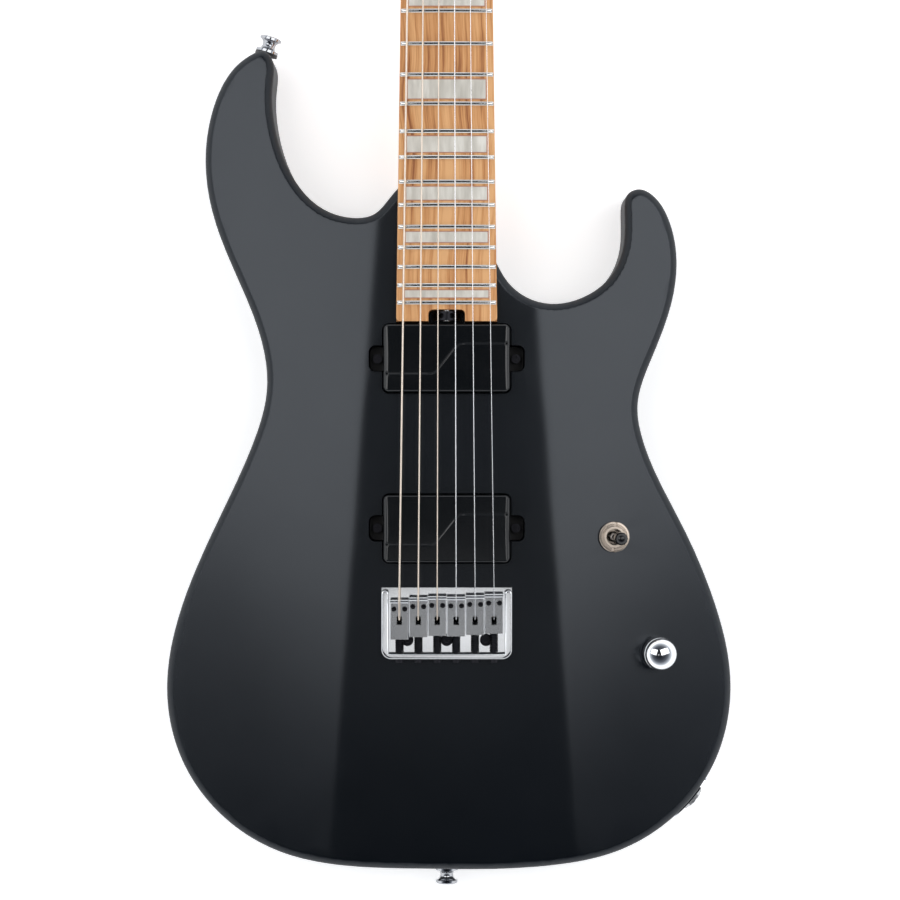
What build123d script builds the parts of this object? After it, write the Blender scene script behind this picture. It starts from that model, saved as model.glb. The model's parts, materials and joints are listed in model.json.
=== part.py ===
from build123d import *
import math
import os

# A solid-body electric guitar lying on its back. All sizes are in millimetres.
# Origin: the back plane of the body, on the centre line, under the saddles.
# +Y runs up the neck to the headstock, +X is the treble side, +Z leaves the playing face.

os.makedirs("parts", exist_ok=True)

# ---------------------------------------------------------------- scale, strings and neck
scale_length = 647.7
fret_count = 24
string_radii = [0.58, 0.46, 0.33, 0.25, 0.20, 0.16]      # low E first
saddle_pitch = 10.5
nut_pitch = 7.0
crest_height = 58.3                # string centre above the back plane, outer strings
nut_string_height = 55.5
nut_width = 42.6
board_width_last_fret = 55.8
board_past_last_fret = 10.3
board_thickness = 6.0
board_top = 53.5
board_radius = 406.0
board_corner = 2.0
fret_width = 2.5
fret_height = 1.2
tang_width = 0.5
tang_depth = 1.8
inlay_frets = [3, 5, 7, 9, 12, 15, 17, 19, 21, 24]
inlay_gap = 2.8                    # from a fret's centre line to the block
inlay_inset = 4.6                  # from the board's edge to the block
inlay_depth = 1.5
side_dot_radius = 1.0
side_dot_depth = 2.0
side_dot_height = 2.6              # above the board's bottom
side_dot_spread = 3.0              # half the gap between the octave's pair
fret_end_inset = 0.4
shaft_depth_heel = 16.0            # neck wood under the board, body end
shaft_depth_nut = 13.5
heel_length = 86.0
heel_blend = 26.0
heel_corner = 2.0
shaft_side_depth = 2.5             # upright part of the neck's side
shelf_depth = 4.0                  # nut shelf into the headstock
nut_thickness = 5.0
nut_rise = 0.7                     # nut above the string centre
nut_corner = 0.8
string_slack = 0.1

# ---------------------------------------------------------------- body
body_width = 317.0
body_length = 458.1
body_thickness = 44.0
flat_half_width = 48.0             # the top is flat this far each side of the centre
arch_radius = 850.0
top_edge_radius = 4.5
crown_margin = 33.5                # the crown's profile runs this far past the edges
back_edge_radius = 4.0
belly_radius = 300.0
belly_depth = 12.0
pocket_depth = 16.0
pocket_clearance = 0.1
pocket_relief = 2.0                # pocket past the end of the neck

# ---------------------------------------------------------------- truss rod
wheel_radius = 7.5
wheel_length = 5.0
wheel_holes = 8
wheel_hole_radius = 1.5
wheel_drop = 3.0                   # top of the wheel below the board's top
wheel_notch_width = 20.4
wheel_notch_length = 6.5
wheel_notch_corner = 2.5
wheel_gap = 0.7
rod_width = 6.0
rod_depth = 9.0
rod_stub_radius = 2.5
rod_end_gap = 8.0                  # from the rod's far end to the nut
wheel_hole_floor = 4.2             # bottom of each pin hole, from the axis
running_clearance = 0.1

# ---------------------------------------------------------------- pickups
pickup_width = 70.3
pickup_height = 37.4
pickup_corner = 3.0
pickup_top = 54.0
pickup_cover_depth = 12.0
pickup_wall = 1.5
pickup_edge = 1.2
pickup_line_width = 0.5            # the fine line moulded across the cover
pickup_line_depth = 0.3
pickup_line_low = 8.7              # below the middle on the bass side
pickup_line_high = 8.0             # above it on the treble side
pickup_depth = 24.0
pickup_travel = 2.0
neck_pickup_y = 131.2
bridge_pickup_y = 36.3
ear_width = 86.0
ear_height = 13.6
ear_thickness = 3.0
ear_corner = 3.2
ear_screw_inset = 4.2
ear_screw_radius = 1.3
ear_screw_head_radius = 2.6
ear_screw_head_height = 1.8
cavity_gap = 1.0
cavity_floor = 24.0
moving_gap = 0.35

# ---------------------------------------------------------------- bridge
bridge_width = 72.6
bridge_front = 3.4
bridge_rear = -36.0
bridge_base = 2.5
bridge_wall_height = 7.5           # above the base
bridge_side_wall = 4.0
bridge_rear_wall = 3.0
bridge_corner = 5.5
wall_setback = 1.2                 # side walls stop this far behind the front edge
bridge_rim_radius = 0.8
saddle_setbacks = [3.8, 2.4, 1.7, 2.0, 1.2, 0.5]         # crest behind the scale line, low E first
saddle_width = 10.15
saddle_edge_radius = 0.4
saddle_length = 22.1
saddle_front = 1.0
saddle_floor_gap = 2.1
saddle_top_drop = 2.2              # saddle deck below the string centre
crest_radius = 1.2
string_hole_y = -14.5
string_hole_radius = 1.6
plate_slot_length = 6.6             # the plate's string holes are oblong
plate_slot_width = 3.4
slot_length = 4.6
slot_width = 2.9
groove_width = 2.2
groove_depth = 4.0                 # below the string's centre
grub_radius = 1.4
grub_offset = 3.0
grub_setback = 4.2
grub_recess = 0.6                  # top of the screw below the deck
grub_socket_radius = 0.8
grub_socket_depth = 2.0
intonation_radius = 1.45
intonation_height = 5.0            # screw axis above the base plate
intonation_head_radius = 2.2
intonation_head_length = 1.8
head_standoff = 0.1                # screw heads clear of the rear wall
spring_radius = 2.4
plate_screw_spacing = 21.9
plate_screw_y = -25.7
plate_screw_radius = 2.0
plate_screw_head_radius = 3.4
plate_screw_head_height = 1.7
plate_screw_head_edge = 0.5
plate_screw_length = 28.0
plate_socket_radius = 1.5
plate_socket_floor = 0.6           # above the plate
ferrule_radius = 3.9
ferrule_length = 9.0
ball_radius = 1.9
ball_length = 3.8
ball_seat = 5.6

# ---------------------------------------------------------------- neck joint
neck_screw_radius = 2.3
neck_screw_head_radius = 4.2
neck_screw_head_height = 2.4
neck_ferrule_radius = 7.0
neck_ferrule_depth = 4.0
neck_screw_reach = 13.0            # into the neck
neck_screw_places = [(-19.0, 15.5), (19.0, 15.5), (-19.0, 60.5), (7.0, 44.0)]
recess = 0.2                       # back fittings sit this far under the back plane
wide_slot = (4.6, 0.9)             # driver slots: length and width of each bar
small_slot = (3.2, 0.7)

# ---------------------------------------------------------------- headstock and tuners
head_drop = 7.5                    # headstock face below the board's top
head_thickness = 14.5
head_edge = 1.5
first_post_distance = 32.0         # from the nut
post_step = 25.5
post_radius = 3.0
post_rise = 9.5                    # top of the post above the headstock face
post_hole_rise = [7.4, 7.0, 6.6, 6.2, 5.4, 5.0]
post_hole_radius = 0.8
post_edge = 0.8
post_foot = 2.5                    # post below the worm's axis
bushing_depth = 8.0                # into the headstock
bushing_radius = 5.0
bushing_hex_radius = 5.6
bushing_hex_height = 2.6
washer_radius = 6.8
washer_thickness = 0.9
housing_length = 17.0
housing_width = 16.0
housing_depth = 10.0
housing_corner = 3.0
housing_edge = 1.5
housing_out = 9.5                  # housing past the post on the key's side
worm_offset = 5.7
worm_radius = 2.2
worm_reach = 6.0                   # worm past the post, inside the housing
key_gap = 8.0                      # bare shaft between housing and button
key_length = 15.0
key_width = 18.0
key_thickness = 8.0
key_corner = 5.0
key_edge = 2.4
tree_distance = 58.0
tree_height = 51.6                 # string centre under the tree bar
tree_post_radius = 1.9
tree_screw_radius = 1.3
tree_bar_radius = 1.2
tree_bar_reach = 6.0
tree_cap_radius = 2.4
tree_cap_height = 1.8

# ---------------------------------------------------------------- controls
knob_inset = 40.5                  # from the body's widest line
knob_y = -33.3
knob_radius = 9.0
knob_height = 16.5
knob_dome_height = 5.5
knob_flat_radius = 1.0             # level spot on the dome
knob_cap = 3.5                     # metal left over the shaft's end
knob_lift = 1.0
knob_bore_radius = 7.0
knob_bore_depth = 4.0
knob_travel = 5.0
shaft_radius = 3.0
panel_wall = 5.0
pot_radius = 8.5
pot_height = 9.0
pot_well_radius = 12.0             # room round the volume control, under the panel
well_depth = 30.0                  # below the panel's surface
pot_bushing_radius = 3.9
pot_bushing_rise = 3.3
pot_nut_radius = 5.8
pot_nut_height = 2.2
pull_box_width = 16.0
pull_box_length = 18.0
pull_box_depth = 13.5
slider_width = 9.0
slider_height = 4.0
slider_play = 0.5                  # above the slider when the knob is pulled up
box_top_wall = 2.0                 # of the switch box under the volume control
switch_inset = 65.0
switch_y = 31.6
switch_bushing_radius = 5.9
switch_bore_radius = 4.6
switch_nut_radius = 8.6
switch_nut_height = 2.6
switch_nut_edge = 0.9
switch_bushing_rise = 0.8          # above its nut
switch_slot = (1.6, 5.0, 1.2)      # width, length and floor height
switch_box_width = 14.0
switch_box_length = 26.0
switch_box_depth = 20.0
switch_throw = 7.5                # degrees each side of upright
switch_heading = -16.0             # the lever leans this way, in degrees from +X
lever_pivot_depth = 3.0
lever_length = 17.0
lever_root_radius = 1.5
lever_end_radius = 1.9
lever_ball_radius = 3.0
tip_radius = 3.6
tip_length = 7.5
tip_overlap = 3.0                  # of the lever, inside the tip
tip_round = 3.2
tip_edge = 0.8
tip_bore_radius = 1.2
control_cavity_radius = 25.0
control_cavity_roof = 36.0
cover_rim = 6.0
cover_thickness = 2.0
cover_gap = 0.25
cover_screw_radius = 1.5
cover_screw_head_radius = 2.6
cover_screw_head_height = 1.1
cover_screw_length = 11.0

# ---------------------------------------------------------------- battery box
battery_size = (48.5, 26.5, 17.5)
battery_x = 45.0
battery_y = -95.0
battery_gap = 0.6
box_wall = 1.5
box_flange = 3.0
box_flange_thickness = 1.6
lid_thickness = 1.5
lid_pivot_radius = 0.8
lid_edge = 1.2
lid_gap = 0.5

# ---------------------------------------------------------------- jack and strap buttons
jack_heading = -40.5               # degrees from +X
jack_height = 19.5
jack_plate_length = 40.0
jack_plate_width = 25.0
jack_plate_thickness = 1.3
jack_screw_offset = 15.0
jack_screw_lift = 0.35             # screw heads proud of the curved plate
jack_bore_radius = 3.25
jack_tube_radius = 4.7
jack_nut_radius = 7.0
jack_nut_height = 2.4
jack_depth = 24.0
jack_well_radius = 9.0
jack_well_depth = 42.0
strap_height = 21.0
horn_strap_heading = 73.0          # degrees from +X
strap_gap = 0.1
strap_base_radius = 6.4
strap_waist_radius = 3.7
strap_rim_radius = 6.2
strap_length = 9.2
felt_thickness = 1.6
felt_radius = 6.4
strap_screw_radius = 2.0
strap_screw_head_radius = 3.7
strap_screw_edge = 0.9
strap_screw_length = 24.0
wire_radius = 0.8
wire_z = 25.6                      # leads from the pickups, clear of their full travel
way_z = 27.0
battery_way_z = 14.0
wire_way_radius = 4.0

# ---------------------------------------------------------------- worked-out places
pocket_floor = body_thickness - pocket_depth
board_bottom = board_top - board_thickness
plate_top = body_thickness + bridge_base
head_face = board_top - head_drop
head_back = head_face - head_thickness
string_count = len(string_radii)
half_span = (string_count - 1) / 2
saddle_bottom = plate_top + saddle_floor_gap
intonation_z = plate_top + intonation_height
knob_x = body_width / 2 - knob_inset
switch_x = body_width / 2 - switch_inset
wheel_z = board_top - wheel_drop - wheel_radius
worm_z = -housing_depth / 2
slider_top = -panel_wall - pot_height - box_top_wall - knob_travel - slider_play


def fret_y(number):
    """Distance of a fret from the saddles: each fret is a twelfth root of two nearer."""
    return scale_length * 2.0 ** (-number / 12.0)


last_fret_y = fret_y(fret_count)
board_end = last_fret_y - board_past_last_fret


def board_half_width(y):
    """Half the board's width, which tapers evenly from the last fret to the nut."""
    share = (y - last_fret_y) / (scale_length - last_fret_y)
    return (board_width_last_fret + (nut_width - board_width_last_fret) * share) / 2


def arch_height(x):
    """Height of the top: flat in the middle, then falling on an arc to each edge."""
    run = max(abs(x) - flat_half_width, 0.0)
    return body_thickness - (arch_radius - math.sqrt(arch_radius ** 2 - run ** 2))


def saddle_x(index):
    return (index - half_span) * saddle_pitch


def nut_x(index):
    return (index - half_span) * nut_pitch


def crest_z(index):
    """String height at its saddle, following the board's crown."""
    edge = half_span * saddle_pitch
    return crest_height + (edge ** 2 - saddle_x(index) ** 2) / (2 * board_radius)


def nut_z(index):
    edge = half_span * nut_pitch
    return nut_string_height + (edge ** 2 - nut_x(index) ** 2) / (2 * board_radius)


def post_distance(index):
    return first_post_distance + post_step * index


def post_place(index):
    """The post stands where its string, drawn on past the nut, passes over it."""
    distance = post_distance(index)
    x = nut_x(index) + (nut_x(index) - saddle_x(index)) * distance / scale_length
    return x, scale_length + distance


def slab(width, length, bottom, top, x=0.0, y=0.0, corner=0.0):
    """An upright block between two heights, with rounded corners where asked."""
    outline = RectangleRounded(width, length, corner) if corner else Rectangle(width, length)
    return Pos(x, y, bottom) * extrude(outline, amount=top - bottom)


def drum(radius, bottom, top, x=0.0, y=0.0):
    """An upright cylinder between two heights."""
    return Pos(x, y, bottom) * extrude(Circle(radius), amount=top - bottom)


def hexagon(radius, bottom, top, x=0.0, y=0.0):
    return Pos(x, y, bottom) * extrude(RegularPolygon(radius, 6), amount=top - bottom)


def cross_slot(sizes, bottom, top, x=0.0, y=0.0):
    """A cross-shaped driver slot, from the (length, width) of its bars."""
    length, width = sizes
    return slab(length, width, bottom, top, x, y) + slab(width, length, bottom, top, x, y)


def join(shapes):
    return Compound(children=[solid for shape in shapes for solid in shape.solids()])


def level_frame(x, y, z, heading):
    """A frame whose local Z points level, at a heading in degrees from +X."""
    angle = math.radians(heading)
    return Plane(
        origin=(x, y, z),
        x_dir=(-math.sin(angle), math.cos(angle), 0),
        z_dir=(math.cos(angle), math.sin(angle), 0),
    )


def panel_frame(x, y):
    """A frame on the arched top at a place, its Z square to the surface."""
    run = max(abs(x) - flat_half_width, 0.0)
    slope = math.copysign(math.asin(run / arch_radius), x)
    return Plane(
        origin=(x, y, arch_height(x)),
        x_dir=(math.cos(slope), 0, -math.sin(slope)),
        z_dir=(math.sin(slope), 0, math.cos(slope)),
    )


# ---------------------------------------------------------------- body
# Points of the outline on a body 317 wide and 458.1 long, from the lower strap button
# round the bass side, both horns and the treble side. They are scaled to the body's size.
design_width = 317.0
design_length = 458.1
outline_points = [
    (0, -154.5), (-60, -152.3), (-95, -144.3), (-126, -125), (-148.5, -94.5), (-157.3, -54),
    (-151.3, -15.5), (-131, 35), (-108, 85.5), (-100.8, 114), (-105.5, 147), (-122, 187),
    (-132.5, 217.5), (-135.4, 245), (-131.3, 271), (-120, 293.3), (-109, 302), (-102.5, 303.6),
    (-98.4, 300), (-97.4, 285), (-96.8, 265), (-93, 248.5), (-85.3, 231.5), (-73, 217.6),
    (-54, 210.2), (-41, 212), (-30.5, 223), (-20, 231), (-4, 225), (14, 206), (28, 184.5),
    (33.2, 175.5), (45, 165.5), (58, 162), (77.5, 166.2), (91, 176.5), (99, 195), (99.5, 214),
    (101.5, 223.5), (107.5, 226.3), (116, 222.5), (124.5, 209.5), (129, 187), (126.5, 164),
    (114.5, 130.5), (107, 105), (110, 85.5), (133.5, 35.2), (150, -4), (159.6, -50),
    (150.8, -94.5), (128.3, -124.8), (96.2, -144.4), (60, -152.3),
]
outline = Spline(
    *[(x * body_width / design_width, y * body_length / design_length) for x, y in outline_points],
    periodic=True,
)
outline_samples = [outline.position_at(step / 3600) for step in range(3600)]


def farthest_point(heading):
    """The outline's point farthest along a heading, where the edge is square to it."""
    angle = math.radians(heading)
    direction = Vector(math.cos(angle), math.sin(angle), 0)
    return max(outline_samples, key=lambda point: point.dot(direction))


jack_point = farthest_point(jack_heading)
jack_frame = level_frame(jack_point.X, jack_point.Y, jack_height, jack_heading)
horn_point = farthest_point(horn_strap_heading)
strap_frames = [
    level_frame(0, outline_samples[0].Y - strap_gap, strap_height, -90),
    level_frame(horn_point.X, horn_point.Y, strap_height, horn_strap_heading),
]

jack_lead_end = jack_frame.origin - jack_frame.z_dir * (jack_well_depth - 8)
knob_frame = panel_frame(knob_x, knob_y)
switch_frame = panel_frame(switch_x, switch_y)
cavity_ends = [(switch_x - 3.0, switch_y + 8.0), (knob_x - 5.0, knob_y - 9.0)]


def cavity_outline(grow):
    """The control cavity's outline: a slot from the switch to the volume control."""
    (x1, y1), (x2, y2) = cavity_ends
    span = math.hypot(x2 - x1, y2 - y1)
    turn = math.degrees(math.atan2(y2 - y1, x2 - x1))
    slot = SlotCenterToCenter(span, 2 * (control_cavity_radius + grow))
    return Pos((x1 + x2) / 2, (y1 + y2) / 2) * Rot(0, 0, turn) * slot


def cover_screw_places():
    """Six screws round the control cavity's rim: three on each long side."""
    (x1, y1), (x2, y2) = cavity_ends
    span = math.hypot(x2 - x1, y2 - y1)
    along = ((x2 - x1) / span, (y2 - y1) / span)
    reach = control_cavity_radius + cover_rim / 2
    places = []
    for side in (-1, 1):
        for share in (0.0, 0.5, 1.0):
            x = x1 + (x2 - x1) * share - along[1] * reach * side
            y = y1 + (y2 - y1) * share + along[0] * reach * side
            places.append((x, y))
    return places


cover_screw_spots = cover_screw_places()
box_inner = (battery_size[0] + 2 * battery_gap, battery_size[1] + 2 * battery_gap + 1.0)
box_outer = (box_inner[0] + 2 * box_wall, box_inner[1] + 2 * box_wall)
box_rim = (box_outer[0] + 2 * box_flange, box_outer[1] + 2 * box_flange)
box_top = recess + box_flange_thickness + battery_size[2] + 4.0
lid_axis_y = battery_y + box_inner[1] / 2 - lid_edge - 0.75
lid_axis_z = recess + 0.1 + lid_thickness / 2
neck_screw_spots = [(x, board_end + y) for x, y in neck_screw_places]


def body_blank():
    """The arched slab with its edges rounded, before anything is cut in it."""
    blank = extrude(make_face(outline), amount=body_thickness + 5)
    reach = body_width / 2 + crown_margin
    steps = [reach * step / 8 for step in range(-8, 9)]
    crown = Spline(*[(x, arch_height(x)) for x in steps])
    profile = make_face([
        crown,
        Line((reach, arch_height(reach)), (reach, -5)),
        Line((reach, -5), (-reach, -5)),
        Line((-reach, -5), (-reach, arch_height(reach))),
    ])
    blank &= extrude(Plane.XZ * profile, amount=body_length, both=True)
    rim = [edge for edge in blank.edges() if edge.bounding_box().min.Z > 1]
    blank = fillet(rim, top_edge_radius)
    back = [edge for edge in blank.edges() if edge.bounding_box().max.Z < 0.1]
    return fillet(back, back_edge_radius)


def neck_plan(clearance, start, end):
    """The tapered outline that the neck and board share."""
    wide = board_half_width(start) + clearance
    narrow = board_half_width(end) + clearance
    return make_face(Polyline(
        (-wide, start), (wide, start), (narrow, end), (-narrow, end), close=True))


def pickup_cavity(y):
    main = slab(pickup_width + 2 * cavity_gap, pickup_height + 2 * cavity_gap, cavity_floor,
                body_thickness + 5, y=y, corner=pickup_corner + cavity_gap)
    ears = slab(ear_width + 1.2, ear_height + 1.2, cavity_floor, body_thickness + 5, y=y,
                corner=ear_corner + 0.6)
    return main + ears


def rod_between(start, end, radius):
    """A straight round rod between two points."""
    first, last = Vector(*start), Vector(*end)
    frame = Plane(origin=first, z_dir=last - first)
    return frame * extrude(Circle(radius), amount=(last - first).length)


def make_body():
    body = body_blank()
    body -= Pos(-body_width * 0.4, 95, belly_depth - belly_radius) * Sphere(belly_radius)
    body -= Pos(0, 0, pocket_floor) * extrude(
        neck_plan(pocket_clearance, board_end - pocket_relief, board_end + 2 * heel_length),
        amount=pocket_depth + 10)
    for y in (neck_pickup_y, bridge_pickup_y):
        body -= pickup_cavity(y)
        for side in (-1, 1):
            body -= drum(ear_screw_radius, cavity_floor - 10, cavity_floor + 1,
                         side * (ear_width / 2 - ear_screw_inset), y)
    # control cavity, its cover's seat and the holes up to the panel
    body -= extrude(cavity_outline(0), amount=control_cavity_roof)
    body -= extrude(cavity_outline(cover_rim), amount=recess + cover_thickness)
    body -= knob_frame * drum(pot_well_radius, -well_depth, -panel_wall)
    body -= knob_frame * drum(pot_bushing_radius + running_clearance, -12, 5)
    body -= switch_frame * Rot(0, 0, switch_heading) * slab(
        switch_box_width + 2, switch_box_length + 2, -well_depth, -panel_wall)
    body -= switch_frame * drum(switch_bushing_radius + running_clearance, -12, 5)
    for x, y in cover_screw_spots:
        body -= drum(cover_screw_radius, 0, recess + cover_screw_length + 1, x, y)
    # battery box
    body -= slab(box_outer[0] + 0.6, box_outer[1] + 0.6, -1, box_top + 0.5, battery_x, battery_y)
    body -= slab(box_rim[0] + 0.6, box_rim[1] + 0.6, -1, recess + box_flange_thickness,
                 battery_x, battery_y, corner=2.3)
    # bridge: a level seat, string holes, ferrule wells and screw pilots
    body -= slab(bridge_width, bridge_front - bridge_rear, body_thickness, body_thickness + 1,
                 y=(bridge_front + bridge_rear) / 2)
    for index in range(string_count):
        body -= drum(string_hole_radius, -1, body_thickness + 1, saddle_x(index), string_hole_y)
        body -= drum(ferrule_radius, -1, recess + ferrule_length, saddle_x(index), string_hole_y)
    for side in (-1, 0, 1):
        body -= drum(plate_screw_radius, plate_top - plate_screw_length - 1, body_thickness + 1,
                     side * plate_screw_spacing, plate_screw_y)
    # neck screws
    for x, y in neck_screw_spots:
        body -= drum(neck_ferrule_radius, -1, recess + neck_ferrule_depth, x, y)
        body -= drum(neck_screw_radius + 0.4, 0, pocket_floor + 1, x, y)
    # jack well, and the drilled ways for the wires
    body -= jack_frame * drum(jack_well_radius, -jack_well_depth, 8)
    for side in (-1, 1):
        body -= jack_frame * Pos(side * jack_screw_offset, 0, 0) * drum(
            cover_screw_radius, -cover_screw_length - 3, 8)
    for start, end in wire_ways():
        body -= rod_between(start, end, wire_way_radius)
    for frame in strap_frames:
        body -= frame * drum(strap_screw_radius, -strap_screw_length, 2)
    return body


def wire_ways():
    """Drilled ways between the hollows, each given by its two ends."""
    (x1, y1), (x2, y2) = cavity_ends
    return [
        ((18, neck_pickup_y, way_z), (18, bridge_pickup_y, way_z)),
        ((20, bridge_pickup_y, way_z), (x1, bridge_pickup_y, way_z)),
        ((battery_x + 16, battery_y + 15, battery_way_z), (x2 - 8, y2 - 8, battery_way_z)),
        (tuple(jack_lead_end), (x2, y2, jack_height)),
    ]


# ---------------------------------------------------------------- neck
def shaft_section(y, depth):
    """The neck's D-shaped section at one place, under the board."""
    half = board_half_width(y)
    top = board_bottom
    side = top - shaft_side_depth
    bottom = top - depth
    curve = Spline(
        (-half, side), (-half * 0.8, bottom + depth * 0.24), (0, bottom),
        (half * 0.8, bottom + depth * 0.24), (half, side))
    face = make_face([
        Line((-half, top), (-half, side)), curve, Line((half, side), (half, top)),
        Line((half, top), (-half, top))])
    return Plane(origin=(0, y, 0), x_dir=(1, 0, 0), z_dir=(0, -1, 0)) * face


# Corners of the headstock as (x, distance past the nut), with the radius that rounds each.
head_corners = [
    (-31.5, 22, 8), (4, 171, 14), (19, 192, 9), (36, 177, 8), (30, 105, 60), (21.8, 14, 20),
]


def headstock():
    """A flat paddle with its bass edge along the row of tuners."""
    corner = nut_width / 2
    face = make_face(Polyline(
        (-corner, scale_length), *[(x, scale_length + y) for x, y, radius in head_corners],
        (corner, scale_length), close=True))
    for x, y, radius in head_corners:
        point = Vector(x, scale_length + y, 0)
        nearest = min(face.vertices(), key=lambda vertex: (Vector(*vertex) - point).length)
        face = fillet(nearest, radius)
    block = Pos(0, 0, head_back) * extrude(face, amount=head_thickness)
    rims = [edge for edge in block.faces().filter_by(Axis.Z).edges()
            if edge.bounding_box().max.Y > scale_length + 0.1]
    return fillet(rims, head_edge)


def make_neck():
    heel_end = board_end + heel_length
    shaft_start = heel_end + heel_blend
    heel = Pos(0, 0, pocket_floor) * extrude(
        neck_plan(0, board_end, heel_end), amount=board_bottom - pocket_floor)
    back_corners = [edge for edge in heel.edges()
                    if edge.center().Z < pocket_floor + 0.1 and abs(edge.tangent_at(0.5).Y) > 0.9]
    heel = fillet(back_corners, heel_corner)
    blend = loft([
        shaft_section(heel_end, board_bottom - pocket_floor - 0.5),
        shaft_section(shaft_start, shaft_depth_heel)])
    shaft = loft([
        shaft_section(shaft_start, shaft_depth_heel),
        shaft_section(scale_length, shaft_depth_nut)])
    shelf = Pos(0, 0, head_back + shelf_depth) * extrude(
        neck_plan(0, scale_length, scale_length + nut_thickness + 1.0),
        amount=board_bottom - head_back - shelf_depth)
    neck = heel + blend + shaft + headstock() + shelf
    # truss rod channel and the wheel's notch
    rod_start = board_end + wheel_notch_length
    rod_end = scale_length - rod_end_gap
    neck -= slab(rod_width, rod_end - rod_start, board_bottom - rod_depth, board_bottom,
                 y=(rod_start + rod_end) / 2)
    neck -= slab(wheel_notch_width, 2 * wheel_notch_length, pocket_floor - 1, board_top,
                 y=board_end, corner=wheel_notch_corner)
    for x, y in neck_screw_spots:
        neck -= drum(neck_screw_radius, pocket_floor - 1, pocket_floor + neck_screw_reach, x, y)
    for index in range(string_count):
        x, y = post_place(index)
        neck -= drum(bushing_radius, head_back - 1, head_face + 1, x, y)
    tree_x, tree_y = tree_place()
    neck -= drum(tree_screw_radius, head_face - 9, head_face + 1, tree_x, tree_y)
    return neck


def board_blank(clearance=0.0):
    """The tapered board with its crowned top."""
    board = Pos(0, 0, board_bottom) * extrude(
        neck_plan(clearance, board_end, scale_length), amount=board_thickness + 1)
    crown = Plane.XZ * Pos(0, board_top - board_radius) * Circle(board_radius)
    return board & extrude(crown, amount=scale_length + 10, both=True)


def fret_tangs():
    slots = []
    for number in range(1, fret_count + 1):
        y = fret_y(number)
        slots.append(slab(2 * board_half_width(y), tang_width, board_top - tang_depth,
                          board_top + 0.2, y=y))
    return slots


def inlay_blocks():
    """Block markers between frets, one for each marked fret."""
    blocks = []
    for number in inlay_frets:
        near = fret_y(number) + inlay_gap
        far = fret_y(number - 1) - inlay_gap
        middle = (near + far) / 2
        width = 2 * (board_half_width(middle) - inlay_inset)
        blocks.append(slab(width, far - near, board_top - inlay_depth - 0.9, board_top + 1,
                           y=middle))
    return blocks


def side_dots():
    """Round markers along the bass edge, two at each octave."""
    dots = []
    for number in inlay_frets:
        middle = (fret_y(number) + fret_y(number - 1)) / 2
        spread = side_dot_spread if number % 12 == 0 else 0.0
        for shift in sorted({-spread, spread}):
            y = middle + shift
            edge = board_half_width(y)
            frame = Plane(origin=(-edge - 1, y, board_bottom + side_dot_height), z_dir=(1, 0, 0))
            dots.append(frame * extrude(Circle(side_dot_radius), amount=side_dot_depth + 1))
    return dots


def make_fretboard_group():
    """The board, its frets and its markers, cut to each other."""
    board = board_blank()
    ends = [edge for edge in board.edges().filter_by(Axis.Z) if edge.center().Y < board_end + 1]
    board = fillet(ends, board_corner)
    board -= slab(wheel_notch_width, 2 * wheel_notch_length, board_bottom - 1, board_top + 1,
                  y=board_end, corner=wheel_notch_corner)
    markers = [shape & board for shape in inlay_blocks() + side_dots()]
    shell = extrude(Plane.XZ * Pos(0, board_top - board_radius)
                    * Circle(board_radius + fret_height), amount=scale_length + 10, both=True)
    plan = Pos(0, 0, board_bottom) * extrude(
        neck_plan(-fret_end_inset, board_end, scale_length), amount=board_thickness + 3)
    wires = []
    for number in range(1, fret_count + 1):
        y = fret_y(number)
        bar = slab(nut_width * 2, fret_width, board_top - 2, board_top + 3, y=y)
        wires.append((bar & shell & plan) - board)
    for marker in markers:
        board -= marker
    tangs = [tang & board for tang in fret_tangs()]
    for tang in tangs:
        board -= tang
    frets = [crown + tang for crown, tang in zip(wires, tangs)]
    return board, join(frets), join(markers)


def make_nut():
    nut = slab(nut_width, nut_thickness, board_bottom, nut_string_height + nut_rise,
               y=scale_length + nut_thickness / 2)
    corners = nut.edges().filter_by(Axis.Y).sort_by(Axis.Z)[-2:]
    nut = fillet(corners, nut_corner)
    for index, radius in enumerate(string_radii):
        width = 2 * radius + 2 * string_slack
        seat = nut_z(index) - radius - string_slack
        x = nut_x(index)
        nut -= slab(width, nut_thickness + 2, seat, seat + 6, x, scale_length + nut_thickness / 2)
    return nut


def make_truss_rod():
    start = board_end + wheel_notch_length
    end = scale_length - rod_end_gap
    rod = slab(rod_width, end - start, board_bottom - rod_depth, board_bottom, y=(start + end) / 2)
    stub = rod_between((0, start + 1, wheel_z), (0, board_end + 0.4, wheel_z), rod_stub_radius)
    return rod + stub


def make_truss_wheel():
    """A drum with radial holes for a pin, threaded on the end of the rod."""
    start = board_end + wheel_gap
    wheel = rod_between((0, start, wheel_z), (0, start + wheel_length, wheel_z), wheel_radius)
    wheel -= rod_between((0, start - 1, wheel_z), (0, start + wheel_length + 1, wheel_z),
                         rod_stub_radius + running_clearance)
    for step in range(wheel_holes):
        angle = math.radians(360 / wheel_holes * (step + 0.5))
        ends = [(math.sin(angle) * reach, start + wheel_length / 2,
                 wheel_z + math.cos(angle) * reach)
                for reach in (wheel_hole_floor, wheel_radius + 1)]
        wheel -= rod_between(*ends, wheel_hole_radius)
    return wheel


def make_neck_ferrules():
    rings = []
    for x, y in neck_screw_spots:
        ring = drum(neck_ferrule_radius, recess, recess + neck_ferrule_depth, x, y)
        ring -= drum(neck_screw_radius + 0.2, 0, 10, x, y)
        ring -= drum(neck_screw_head_radius + 0.15, 0, 2 * recess + neck_screw_head_height, x, y)
        rings.append(ring)
    return join(rings)


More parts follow.
